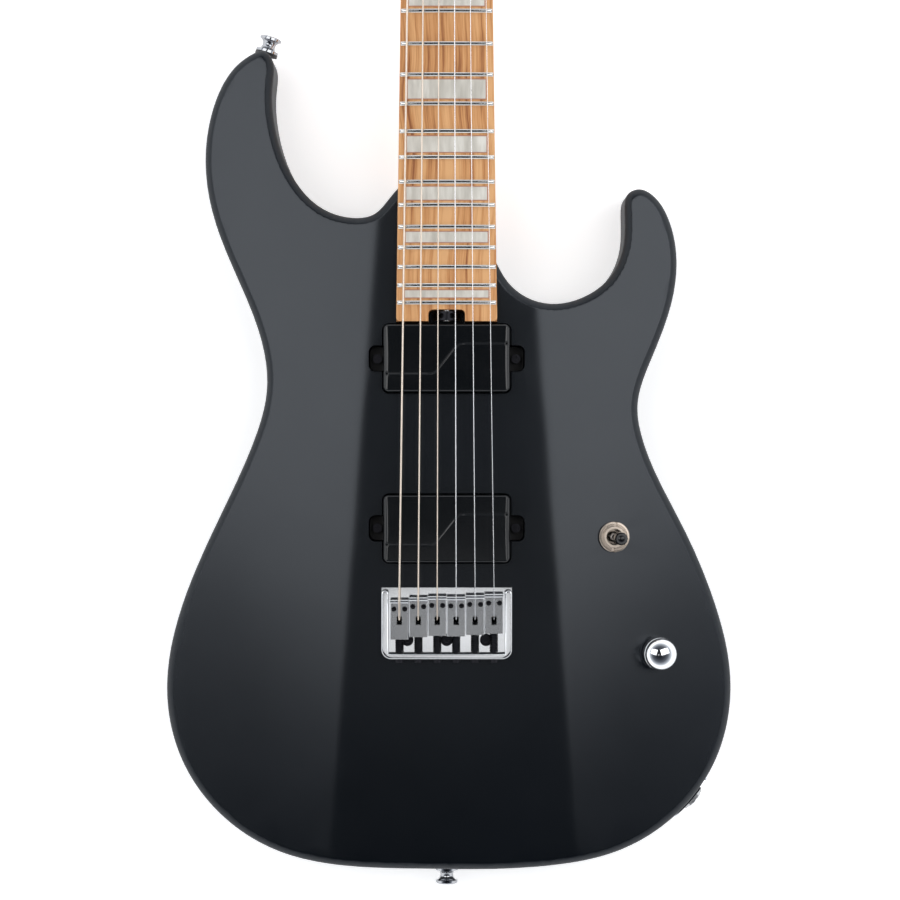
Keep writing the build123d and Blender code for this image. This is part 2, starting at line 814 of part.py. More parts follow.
def make_neck_screws():
    screws = []
    for x, y in neck_screw_spots:
        bottom = 2 * recess
        head = drum(neck_screw_head_radius, bottom, bottom + neck_screw_head_height, x, y)
        shank = drum(neck_screw_radius, bottom, pocket_floor + neck_screw_reach - 0.5, x, y)
        screws.append(head + shank - cross_slot(wide_slot, 0, bottom + 1.2, x, y))
    return join(screws)


# ---------------------------------------------------------------- bridge
def saddle_crest_y(index):
    return -saddle_setbacks[index]


def make_bridge_plate():
    middle = (bridge_front + bridge_rear) / 2
    length = bridge_front - bridge_rear
    block = slab(bridge_width, length, body_thickness, plate_top + bridge_wall_height, y=middle)
    rear = [edge for edge in block.edges().filter_by(Axis.Z) if edge.center().Y < middle]
    block = fillet(rear, bridge_corner)
    channel = slab(bridge_width - 2 * bridge_side_wall, length, plate_top, plate_top + 20,
                   y=middle + bridge_rear_wall)
    block -= channel
    # the side walls end in a rounded nose just behind the plate's front edge
    block -= slab(2 * bridge_width, wall_setback, plate_top, plate_top + 20,
                  y=bridge_front - wall_setback / 2)
    noses = [edge for edge in block.edges().filter_by(Axis.Z)
             if abs(edge.center().Y - (bridge_front - wall_setback)) < 0.1]
    block = fillet(noses, bridge_side_wall * 0.45)
    rims = block.edges().group_by(Axis.Z)[-1]
    block = fillet(rims, bridge_rim_radius)
    for index in range(string_count):
        block -= Pos(saddle_x(index), string_hole_y, body_thickness - 1) * extrude(
            Rot(0, 0, 90) * SlotOverall(plate_slot_length, plate_slot_width),
            amount=bridge_base + 2)
        block -= rod_between((saddle_x(index), bridge_rear - 1, intonation_z),
                             (saddle_x(index), bridge_rear + 6, intonation_z),
                             intonation_radius + running_clearance)
    for side in (-1, 0, 1):
        block -= drum(plate_screw_radius + 0.2, 0, plate_top + 1, side * plate_screw_spacing,
                      plate_screw_y)
    return block


def make_bridge_screws():
    screws = []
    for side in (-1, 0, 1):
        x = side * plate_screw_spacing
        head = drum(plate_screw_head_radius, plate_top, plate_top + plate_screw_head_height,
                    x, plate_screw_y)
        head = fillet(head.edges().group_by(Axis.Z)[-1], plate_screw_head_edge)
        shank = drum(plate_screw_radius, plate_top - plate_screw_length, plate_top,
                     x, plate_screw_y)
        socket = hexagon(plate_socket_radius, plate_top + plate_socket_floor, plate_top + 4,
                         x, plate_screw_y)
        screws.append(head + shank - socket)
    return join(screws)


def make_saddle(index):
    """One saddle, with its two height screws as separate solids."""
    x = saddle_x(index)
    crest = saddle_crest_y(index)
    radius = string_radii[index]
    string_z = crest_z(index)
    deck = string_z - saddle_top_drop
    front = crest + saddle_front
    rear = front - saddle_length
    block = slab(saddle_width, saddle_length, saddle_bottom, deck, x, (front + rear) / 2)
    edges = block.edges().group_by(Axis.Z)[-1].filter_by(Axis.Y)
    block = fillet(edges, saddle_edge_radius)
    ridge_z = string_z - radius - 0.05 - crest_radius
    block += slab(saddle_width, 2 * crest_radius, deck - 1, ridge_z, x, crest)
    block += rod_between((x - saddle_width / 2, crest, ridge_z),
                         (x + saddle_width / 2, crest, ridge_z), crest_radius)
    block -= slab(groove_width, crest - crest_radius - string_hole_y, string_z - groove_depth,
                  string_z + 3, x, (crest - crest_radius + string_hole_y) / 2)
    block -= slab(slot_width, slot_length, saddle_bottom - 1, string_z + 3, x, string_hole_y)
    block -= rod_between((x, rear - 1, intonation_z), (x, string_hole_y, intonation_z),
                         intonation_radius + running_clearance)
    pieces = []
    for side in (-1, 1):
        screw_x = x + side * grub_offset
        screw_y = crest - grub_setback
        block -= drum(grub_radius + 0.05, saddle_bottom - 1, string_z + 3, screw_x, screw_y)
        grub = drum(grub_radius, plate_top + 0.05, deck - grub_recess, screw_x, screw_y)
        grub -= hexagon(grub_socket_radius, deck - grub_recess - grub_socket_depth, deck + 1,
                        screw_x, screw_y)
        pieces.append(grub)
    return join([block] + pieces)


def make_intonation_screws():
    screws = []
    for index in range(string_count):
        x = saddle_x(index)
        shank = rod_between((x, bridge_rear - head_standoff, intonation_z),
                            (x, string_hole_y - slot_length / 2 - 1.0, intonation_z),
                            intonation_radius)
        head = rod_between((x, bridge_rear - head_standoff - intonation_head_length, intonation_z),
                           (x, bridge_rear - head_standoff, intonation_z), intonation_head_radius)
        socket = slab(4, 1.0, -0.5, 0.5)
        socket = Pos(x, bridge_rear - head_standoff - intonation_head_length, intonation_z) * socket
        screws.append(head + shank - socket)
    return join(screws)


def make_intonation_springs():
    """Each coil spring's outer shape, round its screw between saddle and rear wall."""
    sleeves = []
    wall = bridge_rear + bridge_rear_wall
    for index in range(string_count):
        x = saddle_x(index)
        rear = saddle_crest_y(index) + saddle_front - saddle_length
        sleeve = rod_between((x, wall, intonation_z), (x, rear, intonation_z), spring_radius)
        sleeve -= rod_between((x, wall - 1, intonation_z), (x, rear + 1, intonation_z),
                              intonation_radius + running_clearance)
        sleeves.append(sleeve)
    return join(sleeves)


def make_string_ferrules():
    cups = []
    for index in range(string_count):
        x = saddle_x(index)
        cup = drum(ferrule_radius, recess, recess + ferrule_length, x, string_hole_y)
        cup -= drum(ball_radius + 0.2, 0, recess + ball_seat, x, string_hole_y)
        cup -= drum(1.0, 0, 20, x, string_hole_y)
        cups.append(cup)
    return join(cups)


# ---------------------------------------------------------------- headstock fittings
def tree_place():
    """The string tree stands between the two thinnest strings."""
    share = tree_distance / scale_length
    spots = []
    for index in (string_count - 2, string_count - 1):
        spots.append(nut_x(index) + (nut_x(index) - saddle_x(index)) * share)
    return sum(spots) / 2, scale_length + tree_distance


def make_string_tree():
    """A post with a cross bar that holds the two thinnest strings down."""
    x, y = tree_place()
    bar_bottom = tree_height + string_radii[-2] + 0.03
    bar_z = bar_bottom + tree_bar_radius
    pillar = drum(tree_post_radius, head_face, bar_bottom + 0.5, x, y)
    pillar += drum(tree_screw_radius, head_face - 8, head_face, x, y)
    bar = rod_between((x - tree_bar_reach, y, bar_z), (x + tree_bar_reach, y, bar_z),
                      tree_bar_radius)
    cap = drum(tree_cap_radius, bar_z, bar_z + tree_cap_height, x, y)
    return pillar + bar + cap


line_start = Vector(*post_place(0))
line_end = Vector(*post_place(string_count - 1))
row_angle = math.degrees(math.atan2(line_end.Y - line_start.Y, line_end.X - line_start.X))


def tuner_frame(index):
    """Local X runs out to the key, local Y along the row, local Z up the post."""
    x, y = post_place(index)
    angle = math.radians(row_angle + 90)
    return Plane(origin=(x, y, head_back), x_dir=(math.cos(angle), math.sin(angle), 0),
                 z_dir=(0, 0, 1))


def make_tuner_housings():
    cases = []
    for index in range(string_count):
        case = slab(housing_length, housing_width, -housing_depth, 0,
                    housing_out - housing_length / 2, -worm_offset / 2,
                    corner=housing_corner)
        case = fillet(case.edges().group_by(Axis.Z)[0], housing_edge)
        case -= drum(post_radius + running_clearance, worm_z - 3, 1)
        case -= rod_between((-worm_reach - 0.5, -worm_offset, worm_z),
                            (housing_out + 1, -worm_offset, worm_z), worm_radius + running_clearance)
        cases.append(tuner_frame(index) * case)
    return join(cases)


def make_tuner_bushings():
    nuts = []
    for index in range(string_count):
        top = head_thickness
        nut = drum(bushing_radius, top - bushing_depth, top)
        nut += drum(washer_radius, top, top + washer_thickness)
        nut += hexagon(bushing_hex_radius, top + washer_thickness,
                       top + washer_thickness + bushing_hex_height)
        nut -= drum(post_radius + running_clearance, top - 9, top + 10)
        nuts.append(tuner_frame(index) * nut)
    return join(nuts)


def make_tuner_post(index):
    top = head_thickness + post_rise
    post = drum(post_radius, worm_z - post_foot, top)
    post = fillet(post.edges().group_by(Axis.Z)[-1], post_edge)
    hole_z = head_thickness + post_hole_rise[index]
    frame = tuner_frame(index)
    x, y = post_place(index)
    hole = rod_between((x, y - 5, head_back + hole_z), (x, y + 5, head_back + hole_z),
                       post_hole_radius)
    return frame * post - hole


def make_tuner_key(index):
    """The worm's shaft and the button on its end."""
    out = housing_out + key_gap
    shaft = rod_between((-worm_reach, -worm_offset, worm_z), (out + 2, -worm_offset, worm_z),
                        worm_radius)
    plan = Pos(out + key_length / 2, -worm_offset) * RectangleRounded(key_length, key_width, key_corner)
    button = Pos(0, 0, worm_z - key_thickness / 2) * extrude(plan, amount=key_thickness)
    rims = [edge for edge in button.edges() if abs(edge.center().Z - worm_z) > 1]
    button = fillet(rims, key_edge)
    return tuner_frame(index) * (shaft + button)


# ---------------------------------------------------------------- strings
def make_strings():
    """Each string from its ball in the back to its post, and the ball as its own solid."""
    solids = []
    for index, radius in enumerate(string_radii):
        x = saddle_x(index)
        post_x, post_y = post_place(index)
        seat = nut_z(index)
        points = [
            (x, string_hole_y, recess + ball_seat - 0.1),
            (x, string_hole_y, crest_z(index) - 2.4),
            (x, saddle_crest_y(index), crest_z(index)),
            (nut_x(index), scale_length + nut_thickness / 2, seat),
        ]
        radii = [2.4, 4.0, 8.0]
        if index >= string_count - 2:
            share = tree_distance / scale_length
            tree_x = nut_x(index) + (nut_x(index) - saddle_x(index)) * share
            points.append((tree_x, scale_length + tree_distance, tree_height))
            radii.append(8.0)
        hole_z = head_face + post_hole_rise[index]
        points.append((post_x, post_y, hole_z))
        path = FilletPolyline(*points, radius=radii)
        start = Plane(origin=path @ 0, z_dir=path % 0)
        solids.append(sweep(start * Circle(radius), path))
        solids.append(drum(ball_radius, recess + ball_seat - 0.1 - ball_length,
                           recess + ball_seat - 0.1, x, string_hole_y))
    return join(solids)


# ---------------------------------------------------------------- pickups
def make_pickup_cover(y):
    """A moulded shell, open below, with a fine S-shaped line across its top."""
    bottom = pickup_top - pickup_cover_depth
    cover = slab(pickup_width, pickup_height, bottom, pickup_top, y=y, corner=pickup_corner)
    cover = fillet(cover.faces().sort_by(Axis.Z)[-1].edges(), pickup_edge)
    cover -= slab(pickup_width - 2 * pickup_wall, pickup_height - 2 * pickup_wall, bottom - 1,
                  pickup_top - pickup_wall, y=y, corner=pickup_corner - pickup_wall)
    low, high = y - pickup_line_low, y + pickup_line_high
    line = Polyline((-pickup_width / 2 + 2, low), (-6.5, low), (4.0, high - 2.5), (9.5, high),
                    (pickup_width / 2 - 2, high))
    cut = trace(line, line_width=pickup_line_width)
    return cover - Pos(0, 0, pickup_top - pickup_line_depth) * extrude(cut, amount=1)


def make_pickup_core(y):
    """The coil stack on its base plate, with the two mounting ears."""
    fit = pickup_wall + 0.15
    top = pickup_top - pickup_wall - 0.1
    bottom = pickup_top - pickup_depth
    core = slab(pickup_width - 2 * fit, pickup_height - 2 * fit, bottom, top, y=y, corner=1.2)
    core += slab(ear_width, ear_height, bottom, bottom + ear_thickness, y=y, corner=ear_corner)
    for side in (-1, 1):
        core -= drum(ear_screw_radius + moving_gap, bottom - 1, bottom + ear_thickness + 1,
                     side * (ear_width / 2 - ear_screw_inset), y)
    return core


def make_pickup_screws():
    screws = []
    head = pickup_top - pickup_depth + ear_thickness + pickup_travel + moving_gap
    for y in (neck_pickup_y, bridge_pickup_y):
        for side in (-1, 1):
            x = side * (ear_width / 2 - ear_screw_inset)
            screw = drum(ear_screw_head_radius, head, head + ear_screw_head_height, x, y)
            screw += drum(ear_screw_radius, cavity_floor - 9, head, x, y)
            screws.append(screw - cross_slot(small_slot, head + 0.9, head + 3, x, y))
    return join(screws)


# ---------------------------------------------------------------- switch
lever_angle = math.radians(switch_heading)
lever_lean = math.radians(switch_throw)
lever_pivot = switch_frame.origin - switch_frame.z_dir * lever_pivot_depth
lean_level = Vector(math.cos(lever_angle), math.sin(lever_angle), 0)
lean_dir = (lean_level - switch_frame.z_dir * lean_level.dot(switch_frame.z_dir)).normalized()
lever_dir = switch_frame.z_dir * math.cos(lever_lean) + lean_dir * math.sin(lever_lean)
lever_frame = Plane(origin=lever_pivot, x_dir=lean_dir.cross(switch_frame.z_dir),
                    z_dir=lever_dir)


def revolve_profile(frame, points):
    """A solid turned about the frame's Z from a half profile of (radius, height) points."""
    face = Plane.XZ * make_face(Polyline(*points, close=True))
    return frame * revolve(face, axis=Axis.Z)


def make_switch_body():
    turned = Rot(0, 0, switch_heading)
    box = turned * slab(switch_box_width, switch_box_length, -panel_wall - switch_box_depth,
                        -panel_wall, corner=1.0)
    top = switch_nut_height + switch_bushing_rise
    body = box + drum(switch_bushing_radius, -panel_wall, top)
    body -= drum(switch_bore_radius, -lever_pivot_depth - 5.5, top + 1)
    return switch_frame * body


def make_panel_nuts():
    """The switch's dress nut with two key slots, and the volume control's hexagon nut."""
    nut = drum(switch_nut_radius, 0.02, switch_nut_height)
    nut = fillet(nut.edges().group_by(Axis.Z)[-1], switch_nut_edge)
    nut -= drum(switch_bushing_radius, -1, 10)
    slot_width, slot_length, slot_floor = switch_slot
    for side in (-1, 1):
        nut -= Rot(0, 0, switch_heading + 10) * slab(
            slot_width, slot_length, slot_floor, slot_floor + 3, y=side * switch_nut_radius)
    hexed = hexagon(pot_nut_radius, 0.02, pot_nut_height) - drum(pot_bushing_radius, -1, 10)
    return join([switch_frame * nut, knob_frame * hexed])


def make_switch_lever():
    ball = lever_frame * Sphere(lever_ball_radius)
    rod = lever_frame * extrude(Circle(lever_root_radius), amount=lever_length - tip_overlap,
                                taper=-math.degrees(math.atan(
                                    (lever_end_radius - lever_root_radius) / lever_length)))
    neck = lever_frame * drum(tip_bore_radius, 0, lever_length + 2)
    return ball + rod + neck


def make_switch_tip():
    bottom = lever_length - tip_overlap
    tip = drum(tip_radius, bottom, bottom + tip_length)
    tip = fillet(tip.edges().group_by(Axis.Z)[-1], tip_round)
    tip = fillet(tip.edges().group_by(Axis.Z)[0], tip_edge)
    tip -= drum(tip_bore_radius, 0, lever_length + 2)
    return lever_frame * tip


# ---------------------------------------------------------------- volume control
def make_pot_case():
    """Case, threaded bushing and the switch box below, hollow for the shaft and slider."""
    bottom = -panel_wall - pot_height
    case = drum(pot_radius, bottom, -panel_wall)
    case += drum(pot_bushing_radius, -panel_wall, pot_bushing_rise)
    case += slab(pull_box_width, pull_box_length, bottom - pull_box_depth, bottom, corner=0.8)
    case -= drum(shaft_radius + running_clearance, bottom - 1, pot_bushing_rise + 1)
    hollow = slider_height + knob_travel + 1.0
    case -= slab(slider_width + 1, slider_width + 1, bottom - box_top_wall - hollow,
                 bottom - box_top_wall)
    case -= drum(shaft_radius + running_clearance, bottom - 3, bottom)
    return knob_frame * case


def make_pull_slider():
    """The block that the shaft carries up and down in the switch box."""
    return knob_frame * slab(slider_width, slider_width, slider_top - slider_height, slider_top)


def make_volume_shaft():
    top = knob_lift + knob_height - knob_cap
    return knob_frame * drum(shaft_radius, slider_top + 0.2, top)


def make_volume_knob():
    """A domed knob, hollow below for the nut and bored for the shaft."""
    base = knob_lift
    shoulder = base + knob_height - knob_dome_height
    crown = base + knob_height
    profile = make_face([
        Line((0, base), (knob_radius, base)),
        Line((knob_radius, base), (knob_radius, shoulder)),
        ThreePointArc((knob_radius, shoulder), (knob_radius * 0.7, crown - 1.9),
                      (knob_flat_radius, crown)),
        Line((knob_flat_radius, crown), (0, crown)),
        Line((0, crown), (0, base)),
    ])
    knob = revolve(Plane.XZ * profile, axis=Axis.Z)
    knob -= drum(knob_bore_radius, base - 1, base + knob_bore_depth)
    knob -= drum(shaft_radius, base - 1, base + knob_height - knob_cap)
    return knob_frame * knob


# ---------------------------------------------------------------- back fittings
def make_control_cover():
    plate = Pos(0, 0, recess) * extrude(cavity_outline(cover_rim - cover_gap),
                                        amount=cover_thickness)
    for x, y in cover_screw_spots:
        plate -= drum(cover_screw_radius + 0.1, 0, 10, x, y)
        plate -= drum(cover_screw_head_radius + 0.1, 0, recess + 1.2, x, y)
    return plate


def make_cover_screws():
    """Six screws in the control cover and two in the jack plate, all alike."""
    screw = drum(cover_screw_head_radius, 0, cover_screw_head_height)
    screw += drum(cover_screw_radius, 0, cover_screw_length)
    screw -= cross_slot(small_slot, -1, 0.5)
    screws = [Pos(x, y, recess + 0.05) * screw for x, y in cover_screw_spots]
    for side in (-1, 1):
        along = side * jack_screw_offset
        screws.append(jack_frame * Pos(along, 0, jack_seat_lift(along) + jack_screw_lift)
                      * Rot(180, 0, 0) * screw)
    return join(screws)


def make_battery_box():
    x, y = battery_x, battery_y
    box = slab(box_outer[0], box_outer[1], recess, box_top, x, y, corner=1.0)
    box += slab(box_rim[0], box_rim[1], recess, recess + box_flange_thickness, x, y, corner=2.0)
    box -= slab(box_inner[0], box_inner[1], recess - 1, box_top - box_wall, x, y)
    for side in (-1, 1):
        end = x + side * (box_inner[0] / 2 + 1.2)
        box -= rod_between((x + side * (box_inner[0] / 2 - 1), lid_axis_y, lid_axis_z),
                           (end, lid_axis_y, lid_axis_z), lid_pivot_radius + running_clearance)
    return box


def make_battery_lid():
    """A flap with two trunnions, flush with the back when it is shut."""
    width = box_inner[0] - 2 * lid_gap
    low = battery_y - box_inner[1] / 2 + lid_gap
    high = lid_axis_y + lid_edge
    lid = slab(width, high - low, recess + 0.1, recess + 0.1 + lid_thickness, battery_x,
               (low + high) / 2)
    lid -= slab(12, 2.2, 0, recess + 0.8, battery_x, low + 4)
    for side in (-1, 1):
        lid += rod_between(
            (battery_x + side * (width / 2 - 1), lid_axis_y, lid_axis_z),
            (battery_x + side * (box_inner[0] / 2 + 1.0), lid_axis_y, lid_axis_z),
            lid_pivot_radius)
    return lid


def make_battery():
    length, width, height = battery_size
    bottom = recess + lid_thickness + 2.4
    block = slab(length, width, bottom, bottom + height, battery_x, battery_y - 0.4, corner=2.0)
    return fillet(block.edges().group_by(Axis.Z)[-1], 1.0)


# ---------------------------------------------------------------- jack and strap buttons
def edge_wall():
    return extrude(make_face(outline), amount=body_thickness)


def jack_seat_lift(along):
    """Height of the jack plate's face in the jack's frame, at a place along the edge."""
    point = jack_frame.origin + jack_frame.x_dir * along
    near = [p for p in outline_samples if (p - jack_point).length < jack_plate_length]
    closest = min(near, key=lambda p: abs((Vector(p.X, p.Y, 0) - Vector(point.X, point.Y, 0))
                                          .dot(jack_frame.x_dir)))
    drop = (Vector(closest.X, closest.Y, jack_height) - jack_frame.origin).dot(jack_frame.z_dir)
    return drop + jack_plate_thickness


def make_jack_plate():
    """A thin oval plate bent to the body's edge."""
    wall = edge_wall()
    lift = jack_frame.z_dir * jack_plate_thickness
    oval = SlotOverall(jack_plate_length, jack_plate_width)
    prism = jack_frame * Pos(0, 0, -12) * extrude(oval, amount=20)
    plate = (prism & (Pos(lift.X, lift.Y, 0) * wall)) - wall
    plate -= jack_frame * drum(jack_tube_radius + running_clearance, -12, 12)
    for side in (-1, 1):
        spot = jack_frame * Pos(side * jack_screw_offset, 0, 0)
        plate -= spot * drum(cover_screw_radius + 0.1, -12, 12)
        plate -= spot * drum(cover_screw_head_radius + 0.2,
                             jack_seat_lift(side * jack_screw_offset) - jack_plate_thickness * 0.9, 12)
    return plate


def make_output_jack():
    """A barrel jack: tube, inner flange and outer hexagon nut, open to the plug."""
    face = jack_plate_thickness + 0.05
    jack = drum(jack_tube_radius, -jack_depth, face + jack_nut_height + 0.6)
    jack += drum(jack_well_radius - 1.5, -3.6, -0.7)
    jack += drum(jack_well_radius - 2.5, -jack_depth - 2, -jack_depth)
    jack += hexagon(jack_nut_radius, face, face + jack_nut_height)
    jack -= drum(jack_bore_radius, -jack_depth, 20)
    return jack_frame * jack


def make_strap_buttons():
    """Two turned buttons, each with its screw as a separate solid."""
    solids = []
    low = felt_thickness + 0.02
    top = low + strap_length
    profile = make_face([
        Line((0, low), (strap_base_radius, low)),
        Line((strap_base_radius, low), (strap_base_radius, low + 1.4)),
        ThreePointArc((strap_base_radius, low + 1.4), (strap_waist_radius, low + 3.9),
                      (strap_rim_radius, top - 2.0)),
        Line((strap_rim_radius, top - 2.0), (strap_rim_radius, top - 0.8)),
        ThreePointArc((strap_rim_radius, top - 0.8), (strap_rim_radius - 0.7, top - 0.2),
                      (strap_rim_radius - 2.0, top)),
        Line((strap_rim_radius - 2.0, top), (0, top)),
        Line((0, top), (0, low)),
    ])
    button = revolve(Plane.XZ * profile, axis=Axis.Z)
    seat = top - 2.6
    button -= drum(strap_screw_head_radius + 0.1, seat, top + 1)
    button -= drum(strap_screw_radius + 0.1, low - 1, seat + 1)
    screw = drum(strap_screw_head_radius, seat, top - 0.3)
    screw = fillet(screw.edges().group_by(Axis.Z)[-1], strap_screw_edge)
    screw += drum(strap_screw_radius, -strap_screw_length + 1, seat)
    screw -= cross_slot(wide_slot, top - 1.6, top + 1)
    for frame in strap_frames:
        solids += [frame * button, frame * screw]
    return join(solids)


def make_strap_felts():
    ring = drum(felt_radius, 0.02, felt_thickness) - drum(strap_screw_radius + 0.2, -1, 5)
    return join([frame * ring for frame in strap_frames])


def make_wiring():
    """Leads from the pickups, battery and jack into the control cavity."""
    (x1, y1), (x2, y2) = cavity_ends
    routes = [
        [(18, neck_pickup_y - 6, wire_z), (18, bridge_pickup_y + 2.7, wire_z),
         (24, bridge_pickup_y + 2.7, wire_z), (x1 - 8, bridge_pickup_y + 2.0, wire_z)],
        [(26, bridge_pickup_y - 2.7, wire_z), (x1 - 20, bridge_pickup_y - 2.7, wire_z)],
        [(battery_x + 18, battery_y + 19, battery_way_z), (x2 - 10, y2 - 10, battery_way_z)],
        [tuple(jack_lead_end), (x2, y2 - 3, jack_height)],
    ]
    leads = []
    for route in routes:
        if len(route) > 2:
            path = FilletPolyline(*route, radius=[2.5, 2.5])
        else:
            path = Line(*route)
        start = Plane(origin=path @ 0, z_dir=path % 0)
        leads.append(sweep(start * Circle(wire_radius), path))
    return join(leads)


# ---------------------------------------------------------------- writing the pieces
board, frets, inlays = make_fretboard_group()
pieces = {
    "body": make_body(),
    "neck": make_neck(),
    "fretboard": board,
    "frets": frets,
    "inlays": inlays,
    "nut": make_nut(),
    "truss_rod": make_truss_rod(),
    "truss_wheel": make_truss_wheel(),
    "neck_ferrules": make_neck_ferrules(),
    "neck_screws": make_neck_screws(),
    "bridge_plate": make_bridge_plate(),
    "bridge_screws": make_bridge_screws(),
    "intonation_screws": make_intonation_screws(),
    "intonation_springs": make_intonation_springs(),
    "string_ferrules": make_string_ferrules(),
    "strings": make_strings(),
    "neck_pickup_cover": make_pickup_cover(neck_pickup_y),
    "neck_pickup_core": make_pickup_core(neck_pickup_y),
    "bridge_pickup_cover": make_pickup_cover(bridge_pickup_y),
    "bridge_pickup_core": make_pickup_core(bridge_pickup_y),
    "pickup_screws": make_pickup_screws(),
    "switch_body": make_switch_body(),
    "switch_lever": make_switch_lever(),
    "switch_tip": make_switch_tip(),
    "panel_nuts": make_panel_nuts(),
    "pot_case": make_pot_case(),
    "pull_slider": make_pull_slider(),
    "volume_shaft": make_volume_shaft(),
    "volume_knob": make_volume_knob(),
    "output_jack": make_output_jack(),
    "jack_plate": make_jack_plate(),
    "cover_screws": make_cover_screws(),
    "strap_buttons": make_strap_buttons(),
    "strap_felts": make_strap_felts(),
    "control_cover": make_control_cover(),
    "battery_box": make_battery_box(),
    "battery_lid": make_battery_lid(),
    "battery": make_battery(),
    "wiring": make_wiring(),
    "tuner_housings": make_tuner_housings(),
    "tuner_bushings": make_tuner_bushings(),
    "string_tree": make_string_tree(),
}
for number in range(1, string_count + 1):
    pieces[f"saddle_{number}"] = make_saddle(number - 1)
    pieces[f"tuner_post_{number}"] = make_tuner_post(number - 1)
    pieces[f"tuner_key_{number}"] = make_tuner_key(number - 1)

for name, piece in pieces.items():
    export_step(piece, f"parts/{name}.step")
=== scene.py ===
import json
import math

import bpy
import numpy as np
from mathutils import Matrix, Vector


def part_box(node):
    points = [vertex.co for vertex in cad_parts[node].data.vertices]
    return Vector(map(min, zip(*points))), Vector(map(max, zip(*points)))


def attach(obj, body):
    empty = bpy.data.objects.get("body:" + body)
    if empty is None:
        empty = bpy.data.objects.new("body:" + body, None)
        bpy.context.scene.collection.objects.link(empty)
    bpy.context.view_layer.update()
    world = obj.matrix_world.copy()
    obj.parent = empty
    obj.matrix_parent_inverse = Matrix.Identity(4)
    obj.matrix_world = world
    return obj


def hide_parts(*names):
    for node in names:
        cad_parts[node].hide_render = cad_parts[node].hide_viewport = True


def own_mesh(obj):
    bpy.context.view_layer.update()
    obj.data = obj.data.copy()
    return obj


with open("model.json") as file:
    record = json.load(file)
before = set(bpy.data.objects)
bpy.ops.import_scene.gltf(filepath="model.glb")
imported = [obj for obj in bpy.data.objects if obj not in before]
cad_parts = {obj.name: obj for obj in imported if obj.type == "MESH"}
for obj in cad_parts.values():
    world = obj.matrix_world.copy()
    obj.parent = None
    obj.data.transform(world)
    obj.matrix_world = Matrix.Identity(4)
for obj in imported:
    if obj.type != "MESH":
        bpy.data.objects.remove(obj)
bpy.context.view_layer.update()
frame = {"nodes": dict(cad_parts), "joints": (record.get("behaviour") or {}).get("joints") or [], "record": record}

MM = 0.001
NODES = frame["nodes"]
BODY_OF = {node: body for body, nodes in frame["record"]["behaviour"]["bodies"].items()
           for node in nodes}
STRING_COUNT = 6
SHOULDER_SLOPE = 0.12          # tilt of the shading beyond the shoulder line
SHOULDER_TAPER = -0.075        # the line nears the middle towards the neck, per metre
SHOULDER_HALF_WIDTH = 0.059    # at the origin, in metres
SHOULDER_OFFSET = 0.004        # the line's middle, to the treble side
SHOULDER_SOFTNESS = 0.006
FRET_COUNT = 24
INLAY_FRETS = (3, 5, 7, 9, 12, 15, 17, 19, 21, 24)
SWITCH_TILT = 0.05353
SWITCH_SLOT_TURN = -6.0


# ---------------------------------------------------------------- materials
def linear(hex_colour):
    """An sRGB hex colour as linear RGBA."""
    channels = [int(hex_colour[i:i + 2], 16) / 255 for i in (1, 3, 5)]
    return [c / 12.92 if c <= 0.04045 else ((c + 0.055) / 1.055) ** 2.4 for c in channels] + [1.0]


def add(tree, kind, settings=None, **links):
    """Adds a node; settings are its own values, links are its inputs: a value or a socket."""
    node = tree.nodes.new(kind)
    for key, value in (settings or {}).items():
        setattr(node, key, value)
    for key, value in links.items():
        socket = node.inputs[int(key[1:])] if key[0] == "i" and key[1:].isdigit() \
            else node.inputs[key.replace("_", " ")]
        if isinstance(value, bpy.types.NodeSocket):
            tree.links.new(value, socket)
        else:
            socket.default_value = value
    return node


def new_finish(name, base, roughness, metallic=0.0, **sockets):
    """A material with one shader; returns it with its tree, its shader and Object coordinates."""
    material = bpy.data.materials.new(name)
    material.use_nodes = True
    tree = material.node_tree
    shader = tree.nodes["Principled BSDF"]
    shader.inputs["Base Color"].default_value = linear(base)
    shader.inputs["Roughness"].default_value = roughness
    shader.inputs["Metallic"].default_value = metallic
    for key, value in sockets.items():
        shader.inputs[key.replace("_", " ")].default_value = value
    place = add(tree, "ShaderNodeTexCoord").outputs["Object"]
    return material, tree, shader, place


def maths(tree, operation, *values):
    """The result of a sum on numbers and sockets."""
    links = {f"i{k}": value for k, value in enumerate(values)}
    return add(tree, "ShaderNodeMath", {"operation": operation}, **links).outputs["Value"]


def stretched(tree, place, scale):
    """Coordinates scaled by a different amount along each axis, per metre."""
    return add(tree, "ShaderNodeMapping", Vector=place, Scale=scale).outputs["Vector"]


def noise(tree, place, scale, detail=3.0, roughness=0.5):
    return add(tree, "ShaderNodeTexNoise", Vector=place, Scale=scale, Detail=detail,
               Roughness=roughness).outputs["Fac"]


def ramp(tree, factor, stops):
    """A colour ramp from (position, hex colour) stops."""
    node = add(tree, "ShaderNodeValToRGB", Fac=factor)
    bar = node.color_ramp
    while len(bar.elements) < len(stops):
        bar.elements.new(0.5)
    for element, (position, colour) in zip(bar.elements, stops):
        element.position = position
        element.color = linear(colour)
    return node.outputs["Color"]


def vary(tree, socket, factor, low, high):
    """Drives a shader socket between two values by a pattern."""
    spread = add(tree, "ShaderNodeMapRange", Value=factor)
    spread.inputs["To Min"].default_value = low
    spread.inputs["To Max"].default_value = high
    tree.links.new(spread.outputs["Result"], socket)


def bump(tree, shader, height, strength, distance):
    node = add(tree, "ShaderNodeBump", Height=height, Strength=strength, Distance=distance)
    tree.links.new(node.outputs["Normal"], shader.inputs["Normal"])


